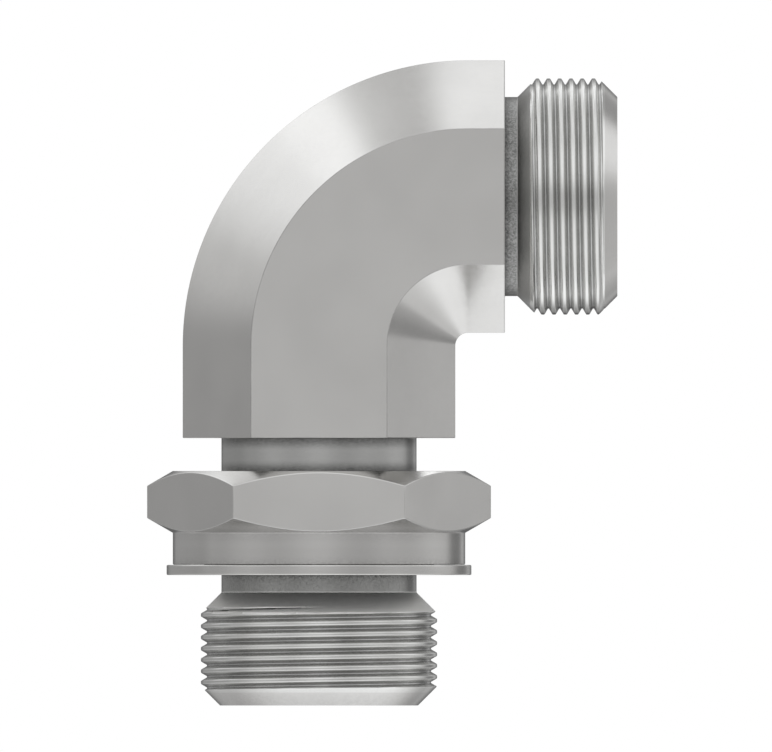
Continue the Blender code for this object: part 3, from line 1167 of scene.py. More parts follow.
@dataclass
class ElbowBody:
    """The bent hexagonal bar with its stud, its tube end and its bores.

    Attributes:
        sizes: The shared sizes.
        form: Section of the threads.
        ridge: Rounding of the bar's ridges.
        end_edge: Rounding of the bar's end edges.
        root_radius: Radius of the cones where the threads start and end.
        port_height: Height of the port thread with its cones.
        port_face: Radius of the stud's end face.
        adjusting_low: Foot of the adjusting thread's lower cone.
        adjusting_high: Top of its upper cone.
        tube_cone_start: Reach at which the tube thread's back cone starts.
        tube_face: Radius of the tube end's face.
        socket: Radius of the tube socket.
        socket_mouth: Radius of the cone's mouth.
        socket_depth: Depth of the socket.
        cone_half_angle: Half angle of the cone.
        bore_chamfer: Chamfer of the bore at the stud's end face.
        shoulder_chamfer: Chamfer of the bore at the foot of the socket.
        neck_lip: Width of the bar's end face that is turned with each neck.
        groove_round: Rounding where a neck meets a thread's cone.
        edge_round: Rounding of the turned outer edges.
        mouth_round: Rounding of the edges of the openings.
        corner_round: Rounding of the inner corners.
        port_crest: Height of a crest of the port thread on the front.
        tube_crest: Reach of a crest of the tube thread there.
        run_out: Height of the band under a thread's upper end that may lie on its cone.
        run_out_slack: How far from the cone a face there may lie.
    """

    sizes: FittingSizes
    form: ThreadForm = field(default_factory=ThreadForm)
    ridge: float = 0.00012
    end_edge: float = 0.00014
    root_radius: float = 0.01990
    port_height: float = 0.0201
    port_face: float = 0.0176
    adjusting_low: float = 0.0307
    adjusting_high: float = 0.0415
    tube_cone_start: float = 0.0352987
    tube_face: float = 0.0177
    socket: float = 0.0151
    socket_mouth: float = 0.0165
    socket_depth: float = 0.0135
    cone_half_angle: float = math.radians(12.0)
    bore_chamfer: float = 0.0006
    shoulder_chamfer: float = 0.0004
    neck_lip: float = 0.0007
    groove_round: float = 0.00030
    edge_round: float = 0.00020
    mouth_round: float = 0.00015
    corner_round: float = 0.00010
    port_crest: float = 0.0166
    tube_crest: float = 0.0393
    run_out: float = 0.0012
    run_out_slack: float = 0.00005

    def build(
        self,
        threads: bpy.types.NodeTree,
        bars: bpy.types.NodeTree,
        finishes: list[bpy.types.Material],
    ) -> bpy.types.Object:
        """Build the whole body.

        Args:
            threads: Tree that winds a thread.
            bars: Tree that sweeps a bar round the bend.
            finishes: Its finishes, in the order of BodyFinish.

        Returns:
            The body as one closed piece.
        """
        shell = Shell("elbow_body_bent_bar", finishes)
        self.add_bar(shell, bars)
        self.add_stud(shell, threads)
        self.add_tube_end(shell, threads)
        shell.weld()
        stud_end = self.sizes.stud_place @ Vector((0.0, 0.0, self.sizes.stud_length))
        tube_end = self.sizes.stud_place @ Vector((self.sizes.body_reach, 0.0, self.sizes.tube_height))
        shell.fill_between(stud_end, DOWN, BodyFinish.BAR)
        shell.fill_between(tube_end, OUT, BodyFinish.BAR)
        return shell.piece()

    def swept(
        self, tree: bpy.types.NodeTree, low: float, far: float, sides: int, corner: float, ridge: float
    ) -> bpy.types.Mesh:
        """Sweep a polygon up the stud's axis, round the bend and out along the tube's axis.

        Args:
            tree: Tree that sweeps.
            low: Height at which the sweep starts.
            far: Reach at which it ends.
            sides: Number of the polygon's sides.
            corner: Radius of its corners.
            ridge: Rounding of its corners, 0 for none.

        Returns:
            An open tube of faces.
        """
        height = self.sizes.tube_height
        path = bpy.data.meshes.new("bent_path")
        path.from_pydata([(0.0, 0.0, low), (0.0, 0.0, height), (far, 0.0, height)], [(0, 1), (1, 2)], [])
        return made_by_nodes(
            path,
            tree,
            {
                "Sides": sides,
                "Corner Radius": corner,
                "Ridge Radius": ridge,
                "Ridge Steps": 4 if ridge > 0.0 else 1,
                "Bend Radius": self.sizes.bend_radius,
                "Bend Steps": BEND_STEPS,
            },
        )

    def add_bar(self, shell: Shell, tree: bpy.types.NodeTree) -> None:
        """Sweep the bar and its bore, and round the bar's ends.

        Args:
            shell: Shell that takes the faces.
            tree: Tree that sweeps.
        """
        sizes = self.sizes
        low = sizes.stud_length + self.end_edge
        far = sizes.body_reach - self.end_edge
        corner = sizes.bar_flat / math.cos(HALF_SIXTH)
        bar = self.swept(tree, low, far, 6, corner, self.ridge)
        shell.add_mesh(bar, BodyFinish.BAR, sizes.stud_place)
        shell.weld()
        low_centre = sizes.stud_place @ Vector((0.0, 0.0, low))
        far_centre = sizes.stud_place @ Vector((far, 0.0, sizes.tube_height))
        shell.round_end(low_centre, DOWN, sizes.bar_flat, self.end_edge)
        shell.round_end(far_centre, OUT, sizes.bar_flat, self.end_edge)
        bore_far = sizes.tube_reach - self.socket_depth - self.shoulder_chamfer
        bore = self.swept(tree, self.bore_chamfer, bore_far, COLUMNS, sizes.flow_bore, 0.0)
        shell.add_mesh(bore, BodyFinish.BORE, sizes.stud_place)

    def add_stud(self, shell: Shell, tree: bpy.types.NodeTree) -> None:
        """Turn the stud: end face, port thread, neck, adjusting thread and upper neck.

        Args:
            shell: Shell that takes the faces.
            tree: Tree that winds the threads.
        """
        sizes = self.sizes
        root = self.root_radius
        neck = sizes.stud_neck
        port_low = root - self.port_face
        port_high = self.port_height - (root - neck)
        adjust_low = self.adjusting_low + root - neck
        adjust_high = self.adjusting_high - (root - neck)
        place = sizes.stud_place
        foot = rounded(
            [
                (sizes.flow_bore, self.bore_chamfer, 0.0),
                (sizes.flow_bore + self.bore_chamfer, 0.0, self.mouth_round),
                (self.port_face, 0.0, self.edge_round),
                (root, port_low, 0.0),
            ]
        )
        shell.add_turned(foot, BodyFinish.SOCKET, place)
        waist = rounded(
            [
                (root, port_high, 0.0),
                (neck, self.port_height, self.groove_round),
                (neck, self.adjusting_low, self.groove_round),
                (root, adjust_low, 0.0),
            ]
        )
        cone_rows = CORNER_STEPS + 1
        shell.add_turned(waist[: cone_rows + 1], BodyFinish.STUD_CONE, place)
        shell.add_turned(waist[cone_rows:], BodyFinish.WAIST, place)
        throat = rounded(
            [
                (root, adjust_high, 0.0),
                (neck, self.adjusting_high, self.groove_round),
                (neck, sizes.stud_length, self.corner_round),
                (neck + self.neck_lip, sizes.stud_length, 0.0),
            ]
        )
        shell.add_turned(throat, BodyFinish.NECK, place)
        for run in (
            ThreadRun(port_low, port_high, root, root, self.port_crest),
            ThreadRun(adjust_low, adjust_high, root, root, sizes.adjusting_crest),
        ):
            shell.add_mesh(run.mesh(self.form, tree), BodyFinish.STUD_THREAD, place)
            self.dress_run_out(shell, run)

    def dress_run_out(self, shell: Shell, run: ThreadRun) -> None:
        """Give the faces of a run that lie on its upper cone the finish of the turned cone.

        Args:
            shell: Shell that has the run's faces.
            run: The run, on the stud's axis.
        """
        back = self.sizes.stud_place.inverted()
        for face in shell.bm.faces:
            spot = back @ face.calc_center_median()
            if run.high - self.run_out < spot.z < run.high:
                rise = math.hypot(spot.x, spot.y) - run.high_radius - (run.high - spot.z)
                if abs(rise) < self.run_out_slack:
                    # The turned cone's finish is painted lighter than the thread's, as painted light.
                    face.material_index = BodyFinish.STUD_CONE

    def add_tube_end(self, shell: Shell, tree: bpy.types.NodeTree) -> None:
        """Turn the tube end: neck, thread, end face, cone, socket and its shoulder.

        Args:
            shell: Shell that takes the faces.
            tree: Tree that winds the thread.
        """
        sizes = self.sizes
        root = self.root_radius
        neck = sizes.tube_neck
        far = sizes.tube_reach
        thread_low = self.tube_cone_start + root - neck
        thread_high = far - (root - self.tube_face)
        place = sizes.tube_place
        back = rounded(
            [
                (neck + self.neck_lip, sizes.body_reach, 0.0),
                (neck, sizes.body_reach, self.corner_round),
                (neck, self.tube_cone_start, self.groove_round),
                (root, thread_low, 0.0),
            ]
        )
        cone_rows = CORNER_STEPS + 1
        shell.add_turned(back[:-cone_rows], BodyFinish.TUBE_NECK, place)
        shell.add_turned(back[-cone_rows - 1 :], BodyFinish.TUBE_CONE, place)
        run = ThreadRun(thread_low, thread_high, root, root, self.tube_crest)
        shell.add_mesh(run.mesh(self.form, tree), BodyFinish.TUBE_THREAD, place)
        cone_foot = far - (self.socket_mouth - self.socket) / math.tan(self.cone_half_angle)
        shoulder = far - self.socket_depth
        mouth = rounded(
            [
                (root, thread_high, 0.0),
                (self.tube_face, far, self.edge_round),
                (self.socket_mouth, far, self.mouth_round),
                (self.socket, cone_foot, self.groove_round),
                (self.socket, shoulder, self.edge_round),
                (sizes.flow_bore + self.shoulder_chamfer, shoulder, self.corner_round),
                (sizes.flow_bore, shoulder - self.shoulder_chamfer, 0.0),
            ]
        )
        shell.add_turned(mouth, BodyFinish.SOCKET, place)


@dataclass
class LockNut:
    """The lock nut: hexagon above, turned collar below, thread inside.

    Attributes:
        sizes: The shared sizes.
        form: Section of the thread.
        flat: Half the width across flats.
        collar: Radius of the collar and of the faces' chamfer circle.
        base: Height of the collar's lower face.
        shoulder: Height at which the collar meets the hexagon.
        top: Height of the upper face.
        face_angle: Slope of the chamfers on the hexagon's faces.
        ridge: Rounding of the hexagon's ridges.
        edge: Rounding of the other edges.
        counterbore: Depth of the plain hole under the thread, which clears the O-ring.
        clearance: Distance outwards from the stud's thread to the nut's.
        crest_slack: How far the nut's crests stand back from the circles that end its thread.
        mouth_flare: How much wider the hole is at the upper face than the passing radius.
        lip: Width of a face beside an edge that is turned with the edge.
        mouth_lip: The same beside the upper mouth of the hole.
        foot_round: Rounding of the corner between the counterbore and the thread.
        shoulder_share: Rounding of the corner over the collar, as a share of the edges'.
        cone_rows: Shares of the way along a chamfer at which it has a row of points.
    """

    sizes: FittingSizes
    form: ThreadForm = field(default_factory=ThreadForm)
    flat: float = 0.0265
    collar: float = 0.0260
    base: float = 0.02503
    shoulder: float = 0.0307
    top: float = 0.0417
    face_angle: float = math.radians(30.0)
    ridge: float = 0.00025
    edge: float = 0.00022
    counterbore: float = 0.0017
    clearance: float = 0.00012
    crest_slack: float = 0.00002
    mouth_flare: float = 0.0008
    lip: float = 0.0008
    mouth_lip: float = 0.0009
    foot_round: float = 0.0001
    shoulder_share: float = 0.6
    cone_rows: tuple[float, ...] = (0.04, 0.14, 0.4, 0.7, 0.94)

    def build(self, threads: bpy.types.NodeTree, finishes: list[bpy.types.Material]) -> bpy.types.Object:
        """Build the nut.

        Args:
            threads: Tree that winds a thread.
            finishes: Its finishes, in the order of NutFinish.

        Returns:
            The nut as one closed piece.
        """
        shell = Shell("lock_nut_hexagon", finishes)
        self.add_outside(shell)
        self.add_inside(shell, threads)
        shell.weld()
        for height in (self.top, self.base):
            shell.fill_between(Vector((0.0, 0.0, height)), UP, NutFinish.NUT_TURNED)
        return shell.piece()

    def add_outside(self, shell: Shell) -> None:
        """Turn the hexagon with its two chamfers, and the collar under it.

        The columns of points follow the hexagon's ridges on its flats and fan out to even angles on the
        round edges.

        Args:
            shell: Shell that takes the faces.
        """
        angles, radii = hexagon_columns(self.flat, self.ridge, steps=4, flat_points=26)
        slope = math.tan(self.face_angle)
        cone = CORNER_STEPS + 1
        rim = 2 * cone
        low = rim + cone
        outlines: dict[str, list[np.ndarray]] = {"top": [], "flats": [], "under": []}
        for radius in radii:
            drop = (radius - self.collar) * slope
            outline = rounded(
                [
                    (self.collar - self.lip, self.top, 0.0),
                    (self.collar, self.top, self.edge),
                    (radius, self.top - drop, self.edge),
                    (radius, self.shoulder + drop, self.edge),
                    (self.collar, self.shoulder, self.edge * self.shoulder_share),
                    (self.collar, self.base, self.edge),
                    (self.collar - self.lip, self.base, 0.0),
                ]
            )
            upper_cone = along(outline[cone], outline[cone + 1], self.cone_rows)
            lower_cone = along(outline[low], outline[low + 1], self.cone_rows)
            top_parts = (outline[: cone + 1], upper_cone, outline[cone + 1 : rim + 1])
            under_parts = (outline[rim + 1 : low + 1], lower_cone, outline[low + 1 :])
            outlines["top"].append(np.vstack(top_parts))
            outlines["flats"].append(outline[rim : rim + 2])
            outlines["under"].append(np.vstack(under_parts))
        even = angles.mean() + (np.arange(len(angles)) - (len(angles) - 1) / 2) * 2 * math.pi / len(angles)
        shares = np.array((0.0, *self.cone_rows, 1.0))
        fan = even[:, None] + (angles - even)[:, None] * (1.0 - shares)
        round_rows = np.repeat(even[:, None], cone, axis=1)
        rim_rows = np.repeat(angles[:, None], cone, axis=1)
        flat_rows = np.repeat(angles[:, None], 2, axis=1)
        row_angles = {
            "top": np.hstack((round_rows, even[:, None], fan[:, -2:0:-1], rim_rows)),
            "flats": flat_rows,
            "under": np.hstack((rim_rows, fan[:, 1:-1], round_rows, round_rows, even[:, None])),
        }
        foot_row = cone + len(self.cone_rows) + 1
        for part, finish, rows in (
            ("top", NutFinish.NUT_TURNED, slice(None)),
            ("flats", NutFinish.NUT_FLATS, slice(None)),
            ("under", NutFinish.NUT_UNDER, slice(0, foot_row)),
            ("under", NutFinish.NUT_TURNED, slice(foot_row - 1, None)),
        ):
            shape = np.array(outlines[part])[:, rows]
            shell.add_turned(shape, finish, self.sizes.stud_place, row_angles[part][:, rows])

    def add_inside(self, shell: Shell, threads: bpy.types.NodeTree) -> None:
        """Wind the nut's thread, and turn the mouth over it and the counterbore under it.

        Args:
            shell: Shell that takes the faces.
            threads: Tree that winds a thread.
        """
        place = self.sizes.stud_place
        hole = self.sizes.passing_radius
        inner_top = hole + self.mouth_flare
        end_radius = self.form.crest_radius + self.clearance + self.crest_slack
        thread_low = self.base + self.counterbore
        thread_high = self.top - (inner_top - end_radius)
        run = ThreadRun(
            thread_low,
            thread_high,
            end_radius,
            end_radius,
            self.sizes.adjusting_crest,
            side=-1.0,
            shift=self.clearance,
        )
        shell.add_mesh(run.mesh(self.form, threads), NutFinish.STUD_THREAD, place)
        mouth = rounded(
            [
                (end_radius, thread_high, 0.0),
                (inner_top, self.top, self.edge * INNER_EDGE_SHARE),
                (inner_top + self.mouth_lip, self.top, 0.0),
            ]
        )
        shell.add_turned(mouth, NutFinish.NUT_TURNED, place)
        foot = rounded(
            [
                (end_radius, thread_low, 0.0),
                (hole, thread_low - (hole - end_radius), self.foot_round),
                (hole, self.base, self.edge),
                (hole + self.lip, self.base, 0.0),
            ]
        )
        shell.add_turned(foot, NutFinish.NUT_TURNED, place)


@dataclass
class RetainingRing:
    """The flat ring under the nut.

    Attributes:
        sizes: The shared sizes.
        base: Height of its lower face.
        top: Height of its upper face.
        radius: Outer radius.
        edge: Rounding of its outer edges.
    """

    sizes: FittingSizes
    base: float = 0.0232
    top: float = 0.0250
    radius: float = 0.0271
    edge: float = 0.00022

    def build(self, finishes: list[bpy.types.Material]) -> bpy.types.Object:
        """Build the ring.

        Args:
            finishes: The one finish of the ring.

        Returns:
            The ring as one closed piece.
        """
        shell = Shell("retaining_ring_turned", finishes)
        hole = self.sizes.passing_radius
        middle = (self.base + self.top) / 2
        outline = rounded(
            [
                (self.radius, middle, 0.0),
                (self.radius, self.top, self.edge),
                (hole, self.top, self.edge * INNER_EDGE_SHARE),
                (hole, self.base, self.edge * INNER_EDGE_SHARE),
                (self.radius, self.base, self.edge),
                (self.radius, middle, 0.0),
            ]
        )
        shell.add_turned(outline[:-1], 0, self.sizes.stud_place, closed=True)
        return shell.piece()


@dataclass
class SealRing:
    """The O-ring inside the retaining ring.

    Attributes:
        sizes: The shared sizes.
        inner: Inner radius.
        outer: Outer radius.
        foot: Height of its lowest line.
        flash: Height of the fine parting line left by its mould.
        flash_angle: Half the angle that the parting line covers on the section.
        steps: Number of the section's sides.
    """

    sizes: FittingSizes
    inner: float = 0.01765
    outer: float = 0.0205
    foot: float = 0.02335
    flash: float = 0.00004
    flash_angle: float = 0.01
    steps: int = 40

    def build(self, finishes: list[bpy.types.Material]) -> bpy.types.Object:
        """Build the O-ring.

        Args:
            finishes: The one finish of the ring.

        Returns:
            The O-ring as one closed piece.
        """
        shell = Shell("o_ring_moulded", finishes)
        section = (self.outer - self.inner) / 2
        centre = (self.outer + self.inner) / 2
        outline = []
        for step in range(self.steps):
            angle = 2 * math.pi * step / self.steps
            nearest = min(abs(angle), abs(angle - math.pi), abs(angle - 2 * math.pi))
            radius = section - self.flash + (self.flash if nearest < self.flash_angle else 0.0)
            height = self.foot + section + radius * math.sin(angle)
            outline.append((centre + radius * math.cos(angle), height))
        shell.add_turned(np.array(outline), 0, self.sizes.stud_place, closed=True)
        return shell.piece()


@dataclass(frozen=True)
class SoftLobe:
    """A soft bright or dark patch of the studio round the object.

    Attributes:
        centre: Direction to its middle, of any length.
        inner: Angle from the middle within which it is full, in degrees.
        outer: Angle at which it has faded out, in degrees.
        amount: Light that it adds, negative for a dark flag.
    """

    centre: tuple[float, float, float]
    inner: float
    outer: float
    amount: float


@dataclass
class Studio:
    """Floor, light, white background and camera.

    Attributes:
        floor_radius: Radius of the pale floor.
        floor_drop: How far it lies below the object's foot.
        floor_fade: Distances from the object between which it fades into the white.
        floor_tones: Darkest and lightest grey of its clouding.
        base_light: Level of the studio all round.
        least_light: Level below which no dark flag takes it.
        cool_span: Levels between which the light turns from neutral to a little cool.
        cool_light: Colour of the brightest light.
        lamp_place: Place of the lamp that casts the shadow on the floor.
        lamp_aim: Point that it shines at.
        lamp_size: Length of its sides.
        lamp_watts: Its power.
        camera_place: Place of the camera.
        lobes: The patches that shape the light.
    """

    floor_radius: float = 0.60
    floor_drop: float = 0.0001
    floor_fade: tuple[float, float] = (0.12, 0.42)
    floor_tones: tuple[tuple[float, ...], ...] = ((0.86, 0.86, 0.86, 1.0), (0.90, 0.90, 0.895, 1.0))
    base_light: float = 0.62
    least_light: float = 0.02
    cool_span: tuple[float, float] = (0.62, 1.15)
    cool_light: tuple[float, ...] = (0.993, 1.0, 1.010, 1.0)
    lamp_place: tuple[float, float, float] = (-0.45, -0.35, 0.75)
    lamp_aim: tuple[float, float, float] = (0.0, 0.0, 0.05)
    lamp_size: float = 0.5
    lamp_watts: float = 3.0
    camera_place: tuple[float, float, float] = (0.000687, -0.8, 0.058588)
    lobes: tuple[SoftLobe, ...] = (
        SoftLobe((0.0, 1.0, 0.0), 5.0, 45.0, -0.04),
        SoftLobe((0.0, 1.0, 0.0), 3.0, 26.0, -0.45),
        SoftLobe((-0.97, 0.22, 0.0), 8.0, 34.0, -0.09),
        SoftLobe((-0.94, 0.34, 0.0), 3.0, 16.0, -0.13),
        SoftLobe((-0.6, 0.8, 0.0), 6.0, 28.0, -0.22),
        SoftLobe((-0.8, -0.6, 0.0), 10.0, 50.0, -0.10),
        SoftLobe((-0.55, 0.5, 0.67), 3.0, 26.0, 0.58),
        SoftLobe((-0.5, 0.5, 0.71), 2.0, 9.0, 0.2),
        SoftLobe((-0.82, 0.5, 0.28), 3.0, 14.0, 0.15),
        SoftLobe((-0.26, 0.5, 0.826), 2.0, 12.0, -0.58),
        SoftLobe((0.0, 0.66, 0.75), 5.0, 28.0, 0.52),
        SoftLobe((0.0, 0.86, 0.52), 3.0, 14.0, -0.35),
        SoftLobe((0.25, 0.77, 0.59), 2.0, 7.0, 0.9),
        SoftLobe((0.0, 0.0, 1.0), 10.0, 40.0, 0.26),
        SoftLobe((0.0, -0.4, 0.92), 5.0, 25.0, 0.12),
        SoftLobe((0.0, -0.85, 0.52), 5.0, 30.0, 0.45),
        SoftLobe((-0.72, -0.48, 0.5), 8.0, 32.0, 0.35),
        SoftLobe((0.72, -0.48, 0.5), 8.0, 32.0, 0.40),
        SoftLobe((-0.72, -0.48, -0.5), 8.0, 32.0, 0.25),
        SoftLobe((0.72, -0.48, -0.5), 8.0, 32.0, 0.30),
        SoftLobe((0.0, -0.8, -0.6), 5.0, 30.0, 0.42),
        SoftLobe((0.0, 0.0, -1.0), 15.0, 50.0, 0.44),
        SoftLobe((0.15, 0.45, -0.88), 8.0, 34.0, 0.21),
        SoftLobe((0.88, 0.22, 0.42), 8.0, 24.0, 0.46),
        SoftLobe((0.56, 0.68, 0.47), 5.0, 22.0, -0.22),
        SoftLobe((1.0, 0.0, -0.15), 10.0, 34.0, 0.04),
        SoftLobe((0.66, 0.75, 0.0), 4.0, 18.0, -0.38),
        SoftLobe((0.8, 0.5, -0.3), 9.0, 13.0, -0.28),
        SoftLobe((0.6, 0.5, -0.62), 8.0, 26.0, 0.17),
        SoftLobe((0.3, 0.5, -0.81), 9.5, 11.5, 0.06),
        SoftLobe((0.0, 0.85, -0.52), 5.0, 26.0, -0.28),
        SoftLobe((0.8, -0.6, 0.0), 10.0, 50.0, -0.12),
        SoftLobe((0.52, 0.73, -0.445), 3.0, 16.0, -0.22),
    )

    def build(self) -> None:
        """Build the studio."""
        self.add_floor()
        self.add_world()
        self.add_lamp()
        self.add_camera()

    def add_floor(self) -> None:
        """Lay a round pale floor that fades into the white background far from the object."""
        bm = bmesh.new()
        bmesh.ops.create_circle(bm, cap_ends=True, segments=96, radius=self.floor_radius)
        mesh = bpy.data.meshes.new("studio_floor")
        bm.to_mesh(mesh)
        bm.free()
        floor = bpy.data.objects.new("studio_floor", mesh)
        floor.location = (0.0, 0.0, -self.floor_drop)
        bpy.context.scene.collection.objects.link(floor)

        material = bpy.data.materials.new("pale_floor")
        material.use_nodes = True
        write = TreeWriter(material.node_tree)
        point = write.add("ShaderNodeTexCoord").outputs["Object"]
        colour = write.blend(write.noise(point, 14.0, 3.0), *self.floor_tones)
        paper = write.add("ShaderNodeBsdfPrincipled", {"Base Color": colour, "Roughness": 0.9})
        white = write.add("ShaderNodeEmission", {"Color": WHITE, "Strength": 1.0})
        distance = write.vector("LENGTH", point).outputs["Value"]
        far = write.span(distance, *self.floor_fade)
        light = write.add("ShaderNodeLightPath").outputs
        seen = write.mix_shaders(write.times(far, light["Is Camera Ray"]), paper, white)
        mirrored = write.math("MAXIMUM", light["Is Glossy Ray"], light["Is Transmission Ray"])
        shown = write.mix_shaders(mirrored, seen, write.add("ShaderNodeBsdfTransparent"))
        write.add("ShaderNodeOutputMaterial", {"Surface": shown.outputs[0]})
        mesh.materials.append(material)

    @staticmethod
    def lobe_group() -> bpy.types.NodeTree:
        """Build the group that measures how far a direction lies inside a soft patch.

        Returns:
            The group.
        """
        tree = new_group(
            "studio_lobe",
            "ShaderNodeTree",
            {
                "Direction": "Vector",
                "Centre": "Vector",
                "Inner Cosine": ("Float", 0.9),
                "Outer Cosine": ("Float", 0.5),
            },
            {"Mask": "Float"},
        )
        write = TreeWriter(tree)
        given = write.add("NodeGroupInput").outputs
        match = write.vector("DOT_PRODUCT", given["Direction"], given["Centre"]).outputs["Value"]
        node = write.add(
            "ShaderNodeMapRange",
            {"Value": match, "From Min": given["Outer Cosine"], "From Max": given["Inner Cosine"]},
            interpolation_type="SMOOTHSTEP",
        )
        write.add("NodeGroupOutput", {"Mask": node.outputs[0]})
        return tree

    def add_world(self) -> None:
        """Light the object with a soft studio all round, and show plain white to the camera."""
        world = bpy.data.worlds.new("white_studio")
        bpy.context.scene.world = world
        world.use_nodes = True
        write = TreeWriter(world.node_tree)
        direction = write.add("ShaderNodeTexCoord").outputs["Generated"]
        group = self.lobe_group()
        level: object = self.base_light
        for lobe in self.lobes:
            inputs = {
                "Direction": direction,
                "Centre": Vector(lobe.centre).normalized(),
                "Inner Cosine": math.cos(math.radians(lobe.inner)),
                "Outer Cosine": math.cos(math.radians(lobe.outer)),
            }
            mask = write.group(group, inputs).outputs["Mask"]
            level = write.plus(level, write.times(mask, lobe.amount))
        cool = write.span(level, *self.cool_span)
        studio = write.add(
            "ShaderNodeBackground",
            {
                "Color": write.blend(cool, WHITE, self.cool_light),
                "Strength": write.math("MAXIMUM", level, self.least_light),
            },
        )
        white = write.add("ShaderNodeBackground", {"Color": WHITE})
        seen = write.add("ShaderNodeLightPath").outputs["Is Camera Ray"]
        shown = write.mix_shaders(seen, studio, white)
        write.add("ShaderNodeOutputWorld", {"Surface": shown.outputs[0]})

    def add_lamp(self) -> None:
        """Hang one large soft lamp high on the left, for the shadow on the floor."""
        data = bpy.data.lights.new("soft_key", "AREA")
        data.shape = "SQUARE"
        data.size = self.lamp_size
        data.energy = self.lamp_watts
        lamp = bpy.data.objects.new("soft_key", data)
        bpy.context.scene.collection.objects.link(lamp)
        lamp.location = self.lamp_place
        aim = Vector(self.lamp_aim) - Vector(self.lamp_place)
        lamp.rotation_euler = aim.to_track_quat("-Z", "Y").to_euler()
        lamp.visible_glossy = False

    def add_camera(self) -> None:
        """Set the camera square on to the front, as in the photograph."""
        data = bpy.data.cameras.new("front_view")
        data.type = "ORTHO"
        data.ortho_scale = PHOTO_WIDTH / PIXELS_PER_METRE
        data.clip_end = 10.0
        camera = bpy.data.objects.new("front_view", data)
        bpy.context.scene.collection.objects.link(camera)
        camera.location = self.camera_place
        camera.rotation_euler = (math.pi / 2, 0.0, 0.0)
        bpy.context.scene.camera = camera


def place_piece(piece: bpy.types.Object, body: str, node: str) -> None:
    """Hand a finished piece to the frame.

    Args:
        piece: The piece.
        body: The body that it moves with.
        node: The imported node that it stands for.
    """
    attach(piece, body)
    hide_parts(node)
    LOG.info("%s rides on %s and stands for %s", piece.name, body, node)


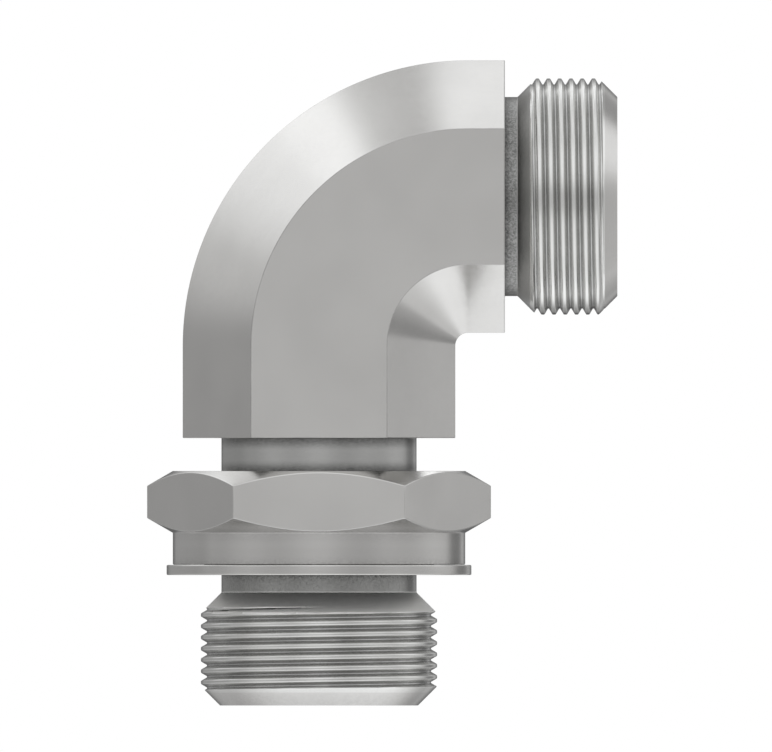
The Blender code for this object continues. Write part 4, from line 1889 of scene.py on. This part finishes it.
def plated_steels(sizes: FittingSizes) -> dict[str, PlatedSteel]:
    """Return the plated finish of each part of the surface.

    Args:
        sizes: The shared sizes.

    Returns:
        The finishes by name. The body's and the nut's have the names in BodyFinish and NutFinish.
    """
    return {
        # The bar's dark edge tone paints a shade line along its edges.
        "bar": PlatedSteel("plated_bar", roughness=0.20, worn_and_shaded=1.0, edge_tone=0.45, edge_width=0.00030),
        "neck": PlatedSteel(
            "plated_stud_neck",
            # Colour darker than the bar's steel, and darkened further in corners: painted shade in the gap
            # between the bar and the nut.
            colour=(0.53, 0.53, 0.52),
            roughness=0.24,
            grain=8500.0,
            grain_depth=0.000006,
            speckle=0.10,
            lathe=LatheAxis.STUD,
            gap_shade_strength=0.35,
            gap_shade_reach=0.0022,
            gap_shade_ragged=1.5,
            worn_and_shaded=0.0,
            corner_shade=0.66,
            corners=((sizes.stud_length, 0.0023), (LockNut.top, 0.0021)),
        ),
        "waist": PlatedSteel(
            "plated_stud_waist",
            # Colour darker than the bar's steel, and darkened fully in the gap: painted shade under the ring.
            colour=(0.43, 0.43, 0.42),
            roughness=0.25,
            grain=8500.0,
            grain_depth=0.000006,
            speckle=0.12,
            lathe=LatheAxis.STUD,
            gap_shade_strength=1.0,
            gap_shade_reach=0.0036,
            gap_shade_ragged=1.5,
            worn_and_shaded=0.0,
        ),
        "tube_neck": PlatedSteel(
            "plated_tube_neck",
            # Colour darker than the bar's steel, and darkened in corners: painted shade on the neck behind
            # the tube thread.
            colour=(0.45, 0.45, 0.44),
            roughness=0.32,
            grain=9500.0,
            grain_depth=0.00004,
            gap_shade_ragged=1.4,
            speckle=0.7,
            lathe=LatheAxis.TUBE,
            gap_shade_strength=0.85,
            gap_shade_reach=0.005,
            worn_and_shaded=0.0,
            corner_shade=0.5,
            corners=((sizes.body_reach, 0.0012),),
        ),
        "stud_thread": PlatedSteel(
            "plated_stud_thread",
            colour=(0.72, 0.72, 0.705),
            roughness=0.20,
            lathe=LatheAxis.STUD,
            gap_shade_strength=0.28,
            # Painted shade in the thread's roots.
            root_shade=0.46,
            root_span=(0.0029, 0.0170),
            lead=ThreadForm.pitch,
        ),
        "tube_thread": PlatedSteel(
            "plated_tube_thread",
            colour=(0.755, 0.755, 0.74),
            roughness=0.20,
            lathe=LatheAxis.TUBE,
            gap_shade_strength=0.20,
            # Painted shade in the thread's roots.
            root_shade=0.42,
            root_span=(0.0380, 0.0503),
            lead=ThreadForm.pitch,
        ),
        "stud_cone": PlatedSteel(
            "plated_stud_cone",
            # Colour lighter than the plating elsewhere: painted light that makes up for the dark ring the
            # cone reflects.
            colour=(0.92, 0.92, 0.905),
            roughness=0.46,
            lathe=LatheAxis.STUD,
            gap_shade_strength=0.0,
            worn_and_shaded=0.0,
        ),
        "tube_cone": PlatedSteel(
            "plated_tube_cone",
            # Colour darker than the plating elsewhere, and darkened in the gap: painted shade beside the tube
            # end's neck.
            colour=(0.56, 0.56, 0.55),
            roughness=0.32,
            lathe=LatheAxis.TUBE,
            gap_shade_strength=0.6,
            gap_shade_reach=0.006,
            worn_and_shaded=0.0,
        ),
        "bore": PlatedSteel("plated_flow_bore", roughness=0.34, colour=(0.55, 0.55, 0.54)),
        "socket": PlatedSteel("plated_turned_ends", roughness=0.22, lathe=LatheAxis.TUBE),
        # The nut's flats take a dark edge tone: a painted shade line along their edges.
        "nut_flats": PlatedSteel(
            "plated_nut_flats", roughness=0.20, worn_and_shaded=0.9, edge_tone=0.6, edge_width=0.00022
        ),
        "nut_under": PlatedSteel(
            "plated_nut_under",
            # Colour darker than the nut's other faces, and darkened in the gap: painted shade under the nut,
            # over the collar.
            colour=(0.56, 0.555, 0.545),
            roughness=0.22,
            grain=8500.0,
            lathe=LatheAxis.STUD,
            gap_shade_strength=0.9,
            gap_shade_reach=0.004,
            gap_shade_ragged=1.0,
            worn_and_shaded=0.0,
        ),
        "nut_turned": PlatedSteel(
            "plated_nut_turned",
            roughness=0.20,
            grain=8500.0,
            lathe=LatheAxis.STUD,
            gap_shade_strength=0.5,
            gap_shade_reach=0.0035,
            gap_shade_ragged=1.6,
            worn_and_shaded=0.15,
        ),
        "ring": PlatedSteel("plated_ring_turned", roughness=0.22, lathe=LatheAxis.STUD),
    }


def main() -> None:
    """Build the fitting and its studio."""
    logging.basicConfig(level=logging.INFO, format="%(name)s: %(message)s")
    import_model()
    bpy.context.scene.view_settings.view_transform = "Standard"
    sizes = FittingSizes()
    groups = SteelGroups()
    threads = thread_tree()
    bars = bent_bar_tree()

    finish = {name: steel.material(groups, sizes) for name, steel in plated_steels(sizes).items()}
    body_finishes = [finish[item.name.lower()] for item in BodyFinish]
    nut_finishes = [finish[item.name.lower()] for item in NutFinish]
    rubber = SealRubber().material(groups)

    body = ElbowBody(sizes).build(threads, bars, body_finishes)
    place_piece(body, "elbow_body", "elbow_body")
    nut = LockNut(sizes).build(threads, nut_finishes)
    place_piece(nut, "lock_nut", "lock_nut")
    ring = RetainingRing(sizes).build([finish["ring"]])
    place_piece(ring, "retaining_ring", "retaining_ring")
    seal = SealRing(sizes).build([rubber])
    place_piece(seal, "retaining_ring", "o_ring")

    Studio().build()


if __name__ == "__main__":
    main()
